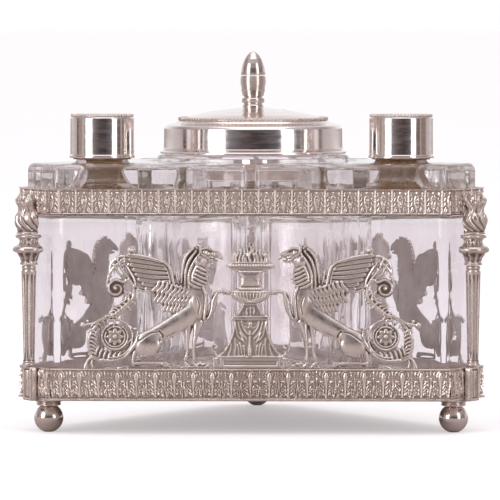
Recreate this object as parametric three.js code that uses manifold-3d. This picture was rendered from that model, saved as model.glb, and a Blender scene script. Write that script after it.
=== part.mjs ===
// Three-bottle inkwell: a triangular gallery stand with cut corners, three glass corner
// bottles with push-on caps, and a round central jar under a domed lid.
// Millimetres, +Z up. The long front side faces -Y. The plan has three-fold symmetry, so one
// side and one corner are built and turned by 120 and 240 degrees.
import * as THREE from 'three';
import { mergeVertices } from 'three/addons/utils/BufferGeometryUtils.js';
import Module from 'manifold-3d';

// ---------------------------------------------------------------- driving dimensions
const SIDE_LENGTH = 145;        // straight run of each long side
const CORNER_WIDTH = 25;        // width of each cut corner
const GAP = 0.3;                // clearance between pieces that touch
const STRIP = 1.6;              // thickness of the gallery strips

const FOOT_RADIUS_FROM_AXIS = 85;
const BALL_R = 5.3;
const BALL_Z = 5.1;
const COLLAR_Z = [9.6, 11.8];

const PLATE_Z = [12.1, 12.95];
const PLATE_LIP = 0.3;          // how far the plate stands proud of the lower gallery
const LOWER_Z = [13.25, 23.8];
const UPPER_Z = [79.0, 88.8];

const TORCH_OUT = 2.05;         // column axis beyond the cut corner's face
const PLINTH = { width: 6.4, depth: 2.5, z: [11.6, 24.2] };

const RELIEF_DEPTH = 2.6;       // griffins and altar
const RELIEF_PROUD = 0.9;       // how far they stand in front of the gallery strip

const GLASS_INSET = 2.65;       // gallery face to glass face
const BOTTLE_Z = [13.25, 97.6];
const BOTTLE_ARC_R = 37.4;      // concave inner wall, round the jar
const BOTTLE_GAP = 2.9;         // between neighbouring bottles
const BOTTLE_WALL = 2.3;
const BOTTLE_FLOOR = 5.0;
const BOTTLE_SHOULDER = 6.6;
const BOTTLE_EDGE = 1.5;
const NECK_FROM_AXIS = 63.0;
const NECK_R = 9.2;
const NECK_BORE_R = 7.2;
const NECK_FLARE_R = 9.6;       // the bore opens out below the shoulder
const NECK_TOP = 109.8;

const JAR_R = 33.5;
const JAR_FLANGE_R = 35.5;
const JAR_INNER_R = 30.0;
const JAR_MOUTH_R = 28.0;
const JAR_NECK_R = 31.0;
const JAR_FLANGE_Z = [96.4, 99.75];
const JAR_TOP = 107.2;

const LID_Z = 100.1;
const CAP_Z = [99.4, 115.4];

// ---------------------------------------------------------------- derived plan
const SPAN = SIDE_LENGTH + 2 * CORNER_WIDTH;            // side of the uncut triangle
const SIDE_DIST = SPAN / (2 * Math.sqrt(3));            // axis to a long side
const CORNER_DIST = SPAN / Math.sqrt(3) - CORNER_WIDTH * Math.sqrt(3) / 2; // axis to a cut corner
const TORCH_AXIS = CORNER_DIST + TORCH_OUT;
const deg = THREE.MathUtils.degToRad;
const CORNER_ANGLE = deg(-30);                          // the corner built first: front right

const wasm = await Module();
wasm.setup();

// ---------------------------------------------------------------- helpers
const solidOf = (geometry) => {
  const g = geometry.clone();
  g.deleteAttribute('normal');
  g.deleteAttribute('uv');
  const m = mergeVertices(g, 1e-4);
  const index = m.index.array;
  const tris = [];
  for (let i = 0; i < index.length; i += 3) {
    const [a, b, c] = [index[i], index[i + 1], index[i + 2]];
    if (a !== b && b !== c && c !== a) tris.push(a, b, c);
  }
  return new wasm.Manifold(new wasm.Mesh({
    numProp: 3,
    vertProperties: new Float32Array(m.attributes.position.array),
    triVerts: new Uint32Array(tris),
  }));
};

const geometryOf = (solid) => {
  const mesh = solid.getMesh();
  const g = new THREE.BufferGeometry();
  g.setAttribute('position', new THREE.BufferAttribute(new Float32Array(mesh.vertProperties), 3));
  g.setIndex(new THREE.BufferAttribute(new Uint32Array(mesh.triVerts), 1));
  g.computeVertexNormals();
  return g;
};

const union = (geometries) => geometryOf(geometries.map(solidOf).reduce((a, b) => a.add(b)));

// A turned piece: [radius, z] from the bottom up the outside, round Z.
const turned = (profile, segments) =>
  new THREE.LatheGeometry(profile.map(([r, z]) => new THREE.Vector2(r, z)), segments).rotateX(Math.PI / 2);

// A turned ring of round section.
const bead = (ringR, wireR, z, segments, sides = 8) => {
  const profile = [];
  for (let i = 0; i <= sides; i++) {
    const t = (i / sides) * 2 * Math.PI;
    profile.push([ringR + wireR * Math.cos(t), z + wireR * Math.sin(t)]);
  }
  profile[sides] = profile[0].slice();
  return turned(profile, segments);
};

// A plan outline raised between two heights.
const plate = (outline, [z0, z1], bevel = 0, steps = 1) => {
  const shape = new THREE.Shape(outline.map(([x, y]) => new THREE.Vector2(x, y)));
  return new THREE.ExtrudeGeometry(shape, {
    depth: z1 - z0 - 2 * bevel,
    bevelEnabled: bevel > 0,
    bevelThickness: bevel,
    bevelSize: bevel,
    bevelOffset: -bevel,
    bevelSegments: steps,
  }).translate(0, 0, z0 + bevel);
};

// Corners of the plan hexagon whose long sides lie at `side` and cut corners at `corner` from the axis,
// counter-clockwise from the front side's left end.
const hexagon = (side, corner) => {
  const points = [];
  for (let k = 0; k < 3; k++) {
    const n0 = deg(-90 + 120 * k);
    const nc = deg(-30 + 120 * k);
    const before = deg(-150 + 120 * k);
    points.push(crossing(before, corner, n0, side), crossing(n0, side, nc, corner));
  }
  return points;
};

// Where two plan lines, each given by its normal's angle and its distance from the axis, cross.
const crossing = (a, da, b, db) => {
  const det = Math.cos(a) * Math.sin(b) - Math.sin(a) * Math.cos(b);
  return [
    (da * Math.sin(b) - db * Math.sin(a)) / det,
    (db * Math.cos(a) - da * Math.cos(b)) / det,
  ];
};

const MATERIALS = {
  silver: { color: 0xcdbfb9, metalness: 1, roughness: 0.3 },
  polished: { color: 0xe6dedb, metalness: 1, roughness: 0.1 },
  glass: { color: 0xe2dde4, metalness: 0, roughness: 0.05, transparent: true, opacity: 0.4 },
  cork: { color: 0x8a6436, metalness: 0, roughness: 0.85 },
};

const stand = new THREE.Group();
const add = (parent, name, geometry, material) => {
  const mesh = new THREE.Mesh(geometry, new THREE.MeshStandardMaterial(MATERIALS[material]));
  mesh.name = name;
  parent.add(mesh);
  return mesh;
};
const turnedGroup = (k) => {
  const group = new THREE.Group();
  group.rotation.z = deg(120 * k);
  stand.add(group);
  return group;
};

const SIDES = ['front', 'right', 'left'];     // long sides, counter-clockwise
const CORNERS = ['right', 'rear', 'left'];    // cut corners, counter-clockwise

// ---------------------------------------------------------------- base plate
add(stand, 'base_plate', plate(hexagon(SIDE_DIST + PLATE_LIP, CORNER_DIST + PLATE_LIP), PLATE_Z), 'silver');

// ---------------------------------------------------------------- gallery strips
// Each strip is mitred to its neighbours at 30 degrees.
const outer = hexagon(SIDE_DIST, CORNER_DIST);
const inner = hexagon(SIDE_DIST - STRIP, CORNER_DIST - STRIP);
const strip = (i, j, z) => {
  const along = new THREE.Vector2(outer[j][0] - outer[i][0], outer[j][1] - outer[i][1]).normalize();
  const d = GAP / 2 / Math.cos(deg(30));
  const shift = ([x, y], s) => [x + s * d * along.x, y + s * d * along.y];
  return plate([shift(outer[i], 1), shift(outer[j], -1), shift(inner[j], -1), shift(inner[i], 1)], z);
};
// ---------------------------------------------------------------- reliefs
// Griffin facing +U, as [u, z] outlines and strokes [u, z, half width]; U runs along the side from its middle.
const GRIFFIN_PLATES = [
  // head, neck, chest and trunk
  [[-10.1, 64.1], [-14.4, 62.1], [-16.6, 59.3], [-15.1, 58.0], [-15.0, 54.9], [-16.3, 53.5], [-15.3, 48.8],
    [-15.2, 45.3], [-16.2, 41.0], [-23.6, 37.9], [-31.0, 34.9], [-33.0, 31.0], [-41.0, 33.0], [-40.6, 37.5],
    [-31.0, 44.0], [-24.9, 52.8], [-24.5, 59.3], [-23.1, 64.6], [-17.9, 68.7], [-11.4, 65.8]],
  // wing
  [[-44.3, 65.0], [-38.0, 63.7], [-33.6, 62.8], [-30.1, 61.1], [-28.0, 58.0], [-27.3, 54.1], [-21.0, 52.1],
    [-21.4, 46.2], [-24.5, 44.5], [-31.0, 44.5], [-35.4, 51.4], [-41.5, 52.8], [-46.7, 61.5]],
  // haunch
  [[-32.4, 32.0], [-33.2, 35.2], [-36.0, 36.6], [-40.6, 35.0], [-41.3, 30.0], [-36.6, 27.7], [-33.9, 29.0]],
];
const GRIFFIN_STROKES = [
  // wing-tip knob
  [[-42.8, 66.9, 1.4], [-42.7, 64.6, 1.6]],
  // plume behind the wing and its volute
  [[-45.4, 63.4, 1.0], [-49.4, 60.6, 1.3], [-51.3, 55.0, 1.0], [-49.6, 50.3, 0.9], [-46.2, 50.6, 0.9], [-46.2, 54.0, 0.9]],
  [[-46.0, 60.6, 1.2], [-42.0, 53.4, 1.1], [-43.0, 48.8, 1.1], [-49.4, 42.8, 1.1], [-60.3, 39.7, 1.0]],
  // tail: outer stalk, lower band and the stem of the scroll
  [[-55.4, 40.6, 0.9], [-58.3, 35.0, 0.9], [-57.0, 29.8, 1.1], [-58.9, 24.9, 0.8]],
  [[-40.6, 31.6, 1.2], [-48.4, 27.0, 1.3], [-57.4, 28.2, 1.2]],
  [[-39.4, 35.4, 0.9], [-42.6, 38.4, 0.9], [-46.4, 38.6, 0.9]],
  // hind foot
  [[-41.4, 30.6, 1.2], [-42.4, 25.3, 1.05], [-30.2, 25.3, 1.1]],
  // standing forelegs
  [[-22.6, 39.4, 1.3], [-23.0, 27.0, 0.7], [-22.2, 25.0, 0.85]],
  [[-19.6, 40.4, 1.3], [-20.3, 25.3, 0.85], [-15.9, 25.0, 0.85]],
  // raised foreleg
  [[-17.4, 41.4, 1.1], [-13.2, 43.4, 0.8], [-14.1, 48.4, 0.7], [-12.0, 51.4, 0.7], [-8.3, 51.0, 0.75]],
];
const TAIL_SCROLL = { u: -49.0, z: 35.3, outer: 4.9 };
// Altar with its vase and flames, half outline as [half width, z] from the foot up.
const ALTAR_HALF = [
  [11.2, 24.15], [11.2, 27.2], [14.4, 29.9], [13.9, 32.8], [9.6, 31.4], [6.2, 38.2], [6.1, 41.4], [6.8, 43.2],
  [3.0, 46.4], [2.9, 47.6], [7.1, 50.8], [7.2, 52.2], [4.8, 53.4], [4.9, 59.1], [8.1, 60.2], [8.1, 61.7],
  [6.4, 62.6], [6.8, 64.6], [1.8, 69.6], [0, 70.2],
];

const RELIEF_FACE = SIDE_DIST + RELIEF_PROUD;
// Stands an outline drawn in U and Z up against the front side.
const standUp = (geometry) => geometry.rotateX(Math.PI / 2).translate(0, -RELIEF_FACE + RELIEF_DEPTH, 0);
const reliefPlate = (points) => standUp(new THREE.ExtrudeGeometry(
  new THREE.Shape(points.map(([u, z]) => new THREE.Vector2(u, z))), { depth: RELIEF_DEPTH, bevelEnabled: false }));

// Outline of a stroke of changing width, with round ends of a few points.
const strokeOutline = (stroke) => {
  const left = [];
  const right = [];
  stroke.forEach(([u, z, w], i) => {
    const a = stroke[Math.max(i - 1, 0)];
    const b = stroke[Math.min(i + 1, stroke.length - 1)];
    const t = new THREE.Vector2(b[0] - a[0], b[1] - a[1]).normalize();
    left.push([u - t.y * w, z + t.x * w]);
    right.push([u + t.y * w, z - t.x * w]);
  });
  return [...right, ...left.reverse()];
};
const disc = (u, z, r, n) => Array.from({ length: n }, (_, i) => {
  const t = (i / n) * 2 * Math.PI;
  return [u + r * Math.cos(t), z + r * Math.sin(t)];
});
const flip = (points) => points.map(([u, z]) => [-u, z]).reverse();

const griffin = (s) => {
  const side = (points) => (s > 0 ? points : flip(points));
  return union([
    ...GRIFFIN_PLATES.map((points) => reliefPlate(side(points))),
    ...GRIFFIN_STROKES.map((stroke) => reliefPlate(side(strokeOutline(stroke)))),
    reliefPlate(disc(s * TAIL_SCROLL.u, TAIL_SCROLL.z, TAIL_SCROLL.outer, 12)),
  ]);
};
const altarOutline = [
  ...ALTAR_HALF,
  ...ALTAR_HALF.slice(0, -1).map(([u, z]) => [-u, z]).reverse(),
];

// ---------------------------------------------------------------- the three sides
SIDES.forEach((side, k) => {
  const group = turnedGroup(k);
  add(group, `lower_gallery_${side}`, strip(0, 1, LOWER_Z), 'silver');
  add(group, `upper_gallery_${side}`, strip(0, 1, UPPER_Z), 'silver');
  add(group, `altar_${side}`, reliefPlate(altarOutline), 'silver');
  add(group, `griffin_${side}_a`, griffin(1), 'silver');
  add(group, `griffin_${side}_b`, griffin(-1), 'silver');
});

// ---------------------------------------------------------------- corner pieces
// A corner piece is modelled round its own upright axis, with +X pointing away from the stand.
const cutBack = (geometry, from) => {
  // keeps only what lies further out than `from`, so that the back lies flat on the gallery
  const box = new THREE.BoxGeometry(40, 40, 200).translate(from - 20 - TORCH_AXIS, 0, 60);
  return geometryOf(solidOf(geometry).subtract(solidOf(box)));
};

const shaftProfile = [[0, 24.5], [2.5, 24.5], [2.5, 25.4], [2.0, 26.0], [2.1, 30.0], [2.75, 58.6], [2.4, 60.0], [2.6, 60.7], [0, 60.7]];
const cupProfile = [[0, 61.0], [3.3, 61.0], [3.5, 61.5], [3.0, 62.1], [4.7, 65.3], [5.7, 65.8], [5.8, 66.8],
  [5.4, 67.7], [3.5, 68.3], [3.8, 69.8], [5.0, 71.5], [4.6, 71.9], [0, 71.9]];
const flameProfile = [[0, 72.2], [4.5, 72.2], [4.6, 72.8], [4.2, 73.3], [5.0, 75.6], [5.3, 79.0], [4.9, 82.6],
  [3.9, 85.4], [2.0, 87.0], [0, 87.4]];

const ballProfile = [[0, 0]];
{
  const start = Math.asin(-BALL_Z / BALL_R);
  const end = Math.asin((COLLAR_Z[0] - GAP - BALL_Z) / BALL_R);
  for (let i = 0; i <= 9; i++) {
    const t = start + ((end - start) * i) / 9;
    ballProfile.push([BALL_R * Math.cos(t), i === 0 ? 0 : BALL_Z + BALL_R * Math.sin(t)]);
  }
  ballProfile.push([0, COLLAR_Z[0] - GAP]);
}
const collarProfile = [[0, COLLAR_Z[0]], [4.1, COLLAR_Z[0]], [4.5, 10.0], [4.4, 10.5], [5.0, 11.3], [5.4, 11.8], [0, 11.8]];

// Bottle plan at the front right corner: from the front gap round to the right gap.
const bottlePlan = (inset, edge = 0) => {
  const side = SIDE_DIST - GLASS_INSET - inset;
  const corner = CORNER_DIST - GLASS_INSET - inset;
  const half = BOTTLE_GAP / 2 + inset;
  const arc = BOTTLE_ARC_R + inset;
  const right = crossing(deg(-90), side, CORNER_ANGLE, corner);
  const points = [];
  const c = edge / Math.sqrt(2);
  // front gap corner, chamfered, then the two ends of the cut corner
  points.push([half, -side + c], [half + c, -side], right);
  // the same three, mirrored across the corner's direction
  const mirror = ([x, y]) => {
    const t = 2 * CORNER_ANGLE;
    return [x * Math.cos(t) + y * Math.sin(t), x * Math.sin(t) - y * Math.cos(t)];
  };
  points.push(mirror(right), mirror([half + c, -side]), mirror([half, -side + c]));
  // concave wall, clockwise back to the front gap
  const turn = Math.asin(half / arc);
  const from = deg(30) - turn;
  const to = deg(-90) + turn;
  const steps = 9;
  for (let i = 0; i <= steps; i++) {
    const t = from + ((to - from) * i) / steps;
    points.push([arc * Math.cos(t), arc * Math.sin(t)]);
  }
  return points;
};
const NECK_AT = [NECK_FROM_AXIS * Math.cos(CORNER_ANGLE), NECK_FROM_AXIS * Math.sin(CORNER_ANGLE)];

const bottle = () => {
  const ceiling = BOTTLE_Z[1] - BOTTLE_SHOULDER;
  const shell = solidOf(plate(bottlePlan(0, 2.0), BOTTLE_Z, BOTTLE_EDGE, 2));
  const neck = solidOf(turned([[0, BOTTLE_Z[1] - 2], [NECK_R + 1.2, BOTTLE_Z[1] - 2], [NECK_R + 1.0, BOTTLE_Z[1] + 0.2],
    [NECK_R, BOTTLE_Z[1] + 0.8], [NECK_R, NECK_TOP - 0.6], [NECK_R - 0.6, NECK_TOP], [0, NECK_TOP]], 16)
    .translate(NECK_AT[0], NECK_AT[1], 0));
  const hollow = solidOf(plate(bottlePlan(BOTTLE_WALL, 3.6), [BOTTLE_Z[0] + BOTTLE_FLOOR, ceiling], 2.0));
  const bore = solidOf(turned([[0, ceiling - 4], [NECK_FLARE_R, ceiling - 4], [NECK_FLARE_R, ceiling], [NECK_BORE_R, BOTTLE_Z[1]],
    [NECK_BORE_R, NECK_TOP + 1], [0, NECK_TOP + 1]], 16).translate(NECK_AT[0], NECK_AT[1], 0));
  return geometryOf(shell.add(neck).subtract(hollow).subtract(bore));
};

const capProfile = [[11.2, CAP_Z[0]], [11.95, CAP_Z[0]], [11.95, 100.3], [11.8, 100.6], [11.6, 114.0], [10.2, 114.0],
  [10.0, 114.8], [0, 115.1], [0, 113.6], [11.0, 113.6], [11.2, CAP_Z[0]]];
const corkProfile = [[NECK_R + GAP, 98.9], [10.55, 98.9], [10.55, 109.5], [NECK_R + GAP, 109.5], [NECK_R + GAP, 98.9]];

CORNERS.forEach((corner, k) => {
  const group = turnedGroup(k);
  add(group, `lower_gallery_corner_${corner}`, strip(1, 2, LOWER_Z), 'silver');
  add(group, `upper_gallery_corner_${corner}`, strip(1, 2, UPPER_Z), 'silver');

  const post = new THREE.Group();
  post.position.set(TORCH_AXIS * Math.cos(CORNER_ANGLE), TORCH_AXIS * Math.sin(CORNER_ANGLE), 0);
  post.rotation.z = CORNER_ANGLE;
  group.add(post);
  const plinth = plate([[-PLINTH.width / 2, -PLINTH.depth / 2], [PLINTH.width / 2, -PLINTH.depth / 2],
    [PLINTH.width / 2, PLINTH.depth / 2], [-PLINTH.width / 2, PLINTH.depth / 2]], PLINTH.z, 0.5, 1);
  plinth.rotateZ(Math.PI / 2).translate(PLATE_LIP + GAP + PLINTH.depth / 2 - TORCH_OUT, 0, 0);
  add(post, `torch_plinth_${corner}`, plinth, 'silver');
  add(post, `torch_shaft_${corner}`, turned(shaftProfile, 8), 'silver');
  add(post, `torch_cup_${corner}`, cutBack(turned(cupProfile, 12), CORNER_DIST - 1.4), 'silver');
  add(post, `torch_flame_${corner}`, cutBack(turned(flameProfile, 12), CORNER_DIST + GAP), 'silver');

  const foot = new THREE.Group();
  foot.position.set(FOOT_RADIUS_FROM_AXIS * Math.cos(CORNER_ANGLE), FOOT_RADIUS_FROM_AXIS * Math.sin(CORNER_ANGLE), 0);
  foot.rotation.z = CORNER_ANGLE;
  group.add(foot);
  add(foot, `foot_ball_${corner}`, turned(ballProfile, 12), 'polished');
  add(foot, `foot_collar_${corner}`, turned(collarProfile, 12), 'silver');

  add(group, `bottle_${corner}`, bottle(), 'glass');
  const top = new THREE.Group();
  top.position.set(NECK_AT[0], NECK_AT[1], 0);
  top.rotation.z = CORNER_ANGLE;
  group.add(top);
  add(top, `cap_${corner}`, turned(capProfile, 18), 'polished');
  add(top, `cap_bead_ring_${corner}`, bead(10.98, 0.55, 114.85, 18, 6), 'silver');
  add(top, `cap_cork_${corner}`, turned(corkProfile, 16), 'cork');
});

// ---------------------------------------------------------------- central jar and lid
add(stand, 'central_jar', turned([[0, 13.25], [JAR_R - 1, 13.25], [JAR_R, 14.25], [JAR_R, 94.8], [JAR_FLANGE_R - 0.6, JAR_FLANGE_Z[0]],
  [JAR_FLANGE_R, JAR_FLANGE_Z[0] + 0.7], [JAR_FLANGE_R, JAR_FLANGE_Z[1] - 0.8], [JAR_FLANGE_R - 0.8, JAR_FLANGE_Z[1]],
  [JAR_NECK_R, JAR_FLANGE_Z[1]], [JAR_NECK_R, JAR_TOP - 0.5], [JAR_NECK_R - 0.5, JAR_TOP], [JAR_MOUTH_R + 0.4, JAR_TOP],
  [JAR_MOUTH_R, JAR_TOP - 0.6], [JAR_MOUTH_R, 96], [JAR_INNER_R, 91], [JAR_INNER_R, 20.2], [JAR_INNER_R - 2.4, 18.2], [0, 18.2]], 28), 'glass');

add(stand, 'lid_shell', turned([[33.3, LID_Z], [34.3, LID_Z], [34.45, 101.0], [34.1, 101.8], [33.1, 102.2], [33.04, 109.0],
  [32.4, 110.2], [29.2, 111.2], [27.9, 112.4], [26.2, 112.4], [26.0, 113.5], [15.0, 116.2],
  [4.4, 117.2], [1.6, 117.2], [1.6, 116.3], [4.2, 116.3], [15.0, 115.2], [25.0, 112.6], [25.4, 111.5],
  [28.6, 110.3], [32.0, 109.0], [32.1, 101.6], [33.3, 101.0], [33.3, LID_Z]], 28), 'polished');
add(stand, 'lid_bead_ring', bead(27.25, 0.75, 113.5, 28, 5), 'silver');
add(stand, 'finial_stem', turned([[0, 113.0], [1.25, 113.0], [1.25, 117.5], [4.0, 117.5], [4.1, 118.6], [3.9, 119.8], [3.2, 120.5],
  [3.5, 121.1], [4.5, 125.0], [4.83, 128.4], [4.5, 129.0], [0, 129.0]], 12), 'polished');
add(stand, 'finial_bud', turned([[0, 129.3], [4.4, 129.3], [4.5, 129.8], [3.6, 130.4], [3.9, 132.2], [3.7, 134.0], [2.8, 136.2],
  [1.3, 137.6], [0, 138.0]], 12), 'polished');
add(stand, 'finial_nut', turned([[1.6, 114.0], [2.9, 114.0], [2.9, 115.9], [1.6, 115.9], [1.6, 114.0]], 6), 'silver');

// ---------------------------------------------------------------- origin
// The origin is the middle of the footprint box, on the surface that the feet stand on.
const inkwell = new THREE.Group();
inkwell.add(stand);
inkwell.updateMatrixWorld(true);
const box = new THREE.Box3().setFromObject(inkwell, true);
stand.position.set(-(box.min.x + box.max.x) / 2, -(box.min.y + box.max.y) / 2, 0);

export default inkwell;
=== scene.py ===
# Looks for the inkwell: chased and polished silver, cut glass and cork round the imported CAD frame.
import math
import bpy
import numpy as np
from mathutils import Matrix, Vector, geometry


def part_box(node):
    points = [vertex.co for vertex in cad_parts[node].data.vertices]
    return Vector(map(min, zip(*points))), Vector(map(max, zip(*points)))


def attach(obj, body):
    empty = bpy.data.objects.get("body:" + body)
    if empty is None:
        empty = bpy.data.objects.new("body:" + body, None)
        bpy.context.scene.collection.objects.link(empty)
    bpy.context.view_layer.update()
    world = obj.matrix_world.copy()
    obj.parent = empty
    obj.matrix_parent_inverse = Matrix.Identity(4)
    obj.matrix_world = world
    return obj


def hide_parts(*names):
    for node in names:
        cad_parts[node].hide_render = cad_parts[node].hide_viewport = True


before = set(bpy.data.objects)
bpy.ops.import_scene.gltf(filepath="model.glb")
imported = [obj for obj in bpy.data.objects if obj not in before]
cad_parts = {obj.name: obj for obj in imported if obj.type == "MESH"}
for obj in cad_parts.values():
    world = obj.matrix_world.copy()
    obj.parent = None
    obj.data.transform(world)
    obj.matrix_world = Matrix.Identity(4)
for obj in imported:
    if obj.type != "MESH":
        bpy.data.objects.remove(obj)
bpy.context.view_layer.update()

MM = 0.001
TAU = 2 * math.pi

# ------------------------------------------------------------------ places, from the CAD nodes
_lo, _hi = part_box("central_jar")
AX, AY = (_lo[0] + _hi[0]) / 2, (_lo[1] + _hi[1]) / 2  # the stand's upright axis, metres
_lo, _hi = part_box("lower_gallery_front")
SIDE = (AY - _lo[1]) / MM  # axis to a long side's face, mm
LOW_Z = (_lo[2] / MM, _hi[2] / MM)
STRIP = (_hi[1] - _lo[1]) / MM
_lo, _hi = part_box("upper_gallery_front")
UP_Z = (_lo[2] / MM, _hi[2] / MM)
_lo, _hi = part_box("lower_gallery_corner_rear")
CORNER = (_hi[1] - AY) / MM  # axis to a cut corner's face, mm
SPAN_W = CORNER * 2 / math.sqrt(3)
# uncut triangle: side S, in-radius S/(2 sqrt 3); cut corner width W
S_FULL = SIDE * 2 * math.sqrt(3)
W_CUT = (S_FULL / math.sqrt(3) - CORNER) * 2 / math.sqrt(3)
L_SIDE = S_FULL - 2 * W_CUT
TORCH = CORNER + 2.05
SIDES = ["front", "right", "left"]
CORNERS = ["right", "rear", "left"]
rng = np.random.default_rng(7)


def turn(k):
    """Turns what is built at the front, or at the front right corner, by k thirds about the stand's axis."""
    return Matrix.Translation((AX, AY, 0)) @ Matrix.Rotation(math.radians(120 * k), 4, "Z")


def at_corner(k, r_mm):
    """Own-axis frame of a corner piece, +X pointing away from the stand."""
    return turn(k) @ Matrix.Rotation(math.radians(-30), 4, "Z") @ Matrix.Translation((r_mm * MM, 0, 0))


# ------------------------------------------------------------------ meshes
def mesh_of(name, verts_mm, quads=(), tris=(), attrs=None, sharp=None, smooth=True):
    verts = np.asarray(verts_mm, dtype=np.float64) * MM
    quads = np.asarray(quads, dtype=np.int64).reshape(-1, 4)
    tris = np.asarray(tris, dtype=np.int64).reshape(-1, 3)
    me = bpy.data.meshes.new(name)
    me.vertices.add(len(verts))
    me.vertices.foreach_set("co", verts.astype(np.float32).ravel())
    loops = np.concatenate([quads.ravel(), tris.ravel()]).astype(np.int32)
    me.loops.add(len(loops))
    me.loops.foreach_set("vertex_index", loops)
    starts = np.concatenate([np.arange(len(quads)) * 4, len(quads) * 4 + np.arange(len(tris)) * 3]).astype(np.int32)
    me.polygons.add(len(starts))
    me.polygons.foreach_set("loop_start", starts)
    me.update(calc_edges=True)
    me.validate(verbose=False)
    if smooth:
        me.shade_smooth()
        if sharp:
            me.set_sharp_from_angle(angle=math.radians(sharp))
    for key, values in (attrs or {}).items():
        if len(values) == len(me.vertices):
            a = me.attributes.new(key, "FLOAT", "POINT")
            a.data.foreach_set("value", np.asarray(values, dtype=np.float32))
    return me


def piece(name, me, body, material, matrix=None, node=None):
    """Puts its own copy of a mesh in place, rides it on its body and hides the CAD nodes it stands for."""
    me = me.copy()
    me.name = name
    if matrix is not None:
        me.transform(matrix)
    o = bpy.data.objects.new(name, me)
    bpy.context.scene.collection.objects.link(o)
    me.materials.clear()
    me.materials.append(material)
    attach(o, body)
    if node:
        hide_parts(*([node] if isinstance(node, str) else node))
    return o


def lathe(profile, segs, closed=False, lobes=None):
    """Rings round Z from [r, z] points, bottom up the outside. A point with r of 0 is a pole.
    lobes(theta, r, z) may return changed radii."""
    th = np.arange(segs) * TAU / segs
    verts, rows = [], []
    count = 0
    pts = list(profile)
    for r, z in pts:
        if r <= 1e-6:
            verts.append(np.array([[0.0, 0.0, z]]))
            rows.append(np.array([count]))
            count += 1
        else:
            rr = np.full(segs, float(r))
            if lobes is not None:
                rr = lobes(th, rr, z)
            verts.append(np.stack([rr * np.cos(th), rr * np.sin(th), np.full(segs, float(z))], 1))
            rows.append(np.arange(count, count + segs))
            count += segs
    quads, tris = [], []
    pairs = list(zip(rows[:-1], rows[1:]))
    if closed:
        pairs.append((rows[-1], rows[0]))
    for a, b in pairs:
        if len(a) == 1 and len(b) == 1:
            continue
        if len(a) == 1:
            tris.append(np.stack([np.full(segs, a[0]), np.roll(b, -1), b], 1))
        elif len(b) == 1:
            tris.append(np.stack([a, np.roll(a, -1), np.full(segs, b[0])], 1))
        else:
            quads.append(np.stack([a, np.roll(a, -1), np.roll(b, -1), b], 1))
    v = np.concatenate(verts)
    q = np.concatenate(quads) if quads else np.zeros((0, 4), int)
    t = np.concatenate(tris) if tris else np.zeros((0, 3), int)
    return v, q, t


def fillet(points, radii, n=4, closed=False):
    """Rounds the corners of a polyline of [x, y]; radii is one number or one for each point."""
    pts = [np.array(p[:2], float) for p in points]
    m = len(pts)
    rad = [radii] * m if np.isscalar(radii) else list(radii)
    out = []
    for i, p in enumerate(pts):
        if not closed and i in (0, m - 1):
            out.append(p)
            continue
        a, b = pts[(i - 1) % m] - p, pts[(i + 1) % m] - p
        la, lb = np.linalg.norm(a), np.linalg.norm(b)
        if rad[i] <= 0 or la < 1e-9 or lb < 1e-9:
            out.append(p)
            continue
        a, b = a / la, b / lb
        cosang = float(np.clip(a @ b, -1, 1))
        half = math.acos(cosang) / 2
        if half > math.radians(88.5) or half < 0.02:
            out.append(p)
            continue
        d = min(rad[i] / math.tan(half), la * 0.48, lb * 0.48)
        p0, p1 = p + a * d, p + b * d
        for s in range(n + 1):
            t = s / n
            out.append((1 - t) ** 2 * p0 + 2 * t * (1 - t) * p + t ** 2 * p1)
    return [tuple(q) for q in out]


def joined(parts):
    """Joins (verts, quads, tris) parts into one."""
    vs, qs, ts, base = [], [], [], 0
    for v, q, t in parts:
        vs.append(v)
        if len(q):
            qs.append(np.asarray(q) + base)
        if len(t):
            ts.append(np.asarray(t) + base)
        base += len(v)
    return (np.concatenate(vs), np.concatenate(qs) if qs else np.zeros((0, 4), int),
            np.concatenate(ts) if ts else np.zeros((0, 3), int))


def ball(c, r, rings=7, segs=10, squash=1.0):
    prof = [(r * math.sin(math.pi * i / rings), -r * math.cos(math.pi * i / rings)) for i in range(rings + 1)]
    prof[0], prof[-1] = (0, prof[0][1]), (0, prof[-1][1])
    v, q, t = lathe(prof, segs)
    v = v * np.array([1, 1, squash]) + np.array(c)
    return v, q, t


# ------------------------------------------------------------------ relief height fields
def spline(points, n=8):
    """Smooth curve through control points of any width, n steps for each span."""
    p = np.array(points, float)
    if len(p) < 3:
        t = np.linspace(0, 1, n + 1)[:, None]
        return p[0] * (1 - t) + p[-1] * t
    p = np.vstack([2 * p[0] - p[1], p, 2 * p[-1] - p[-2]])
    out = []
    for i in range(1, len(p) - 2):
        t = np.linspace(0, 1, n, endpoint=False)[:, None]
        a, b, c, d = p[i - 1], p[i], p[i + 1], p[i + 2]
        out.append(0.5 * (2 * b + (c - a) * t + (2 * a - 5 * b + 4 * c - d) * t ** 2 + (3 * b - a - 3 * c + d) * t ** 3))
    out.append(p[-2][None])
    return np.concatenate(out)


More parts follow.
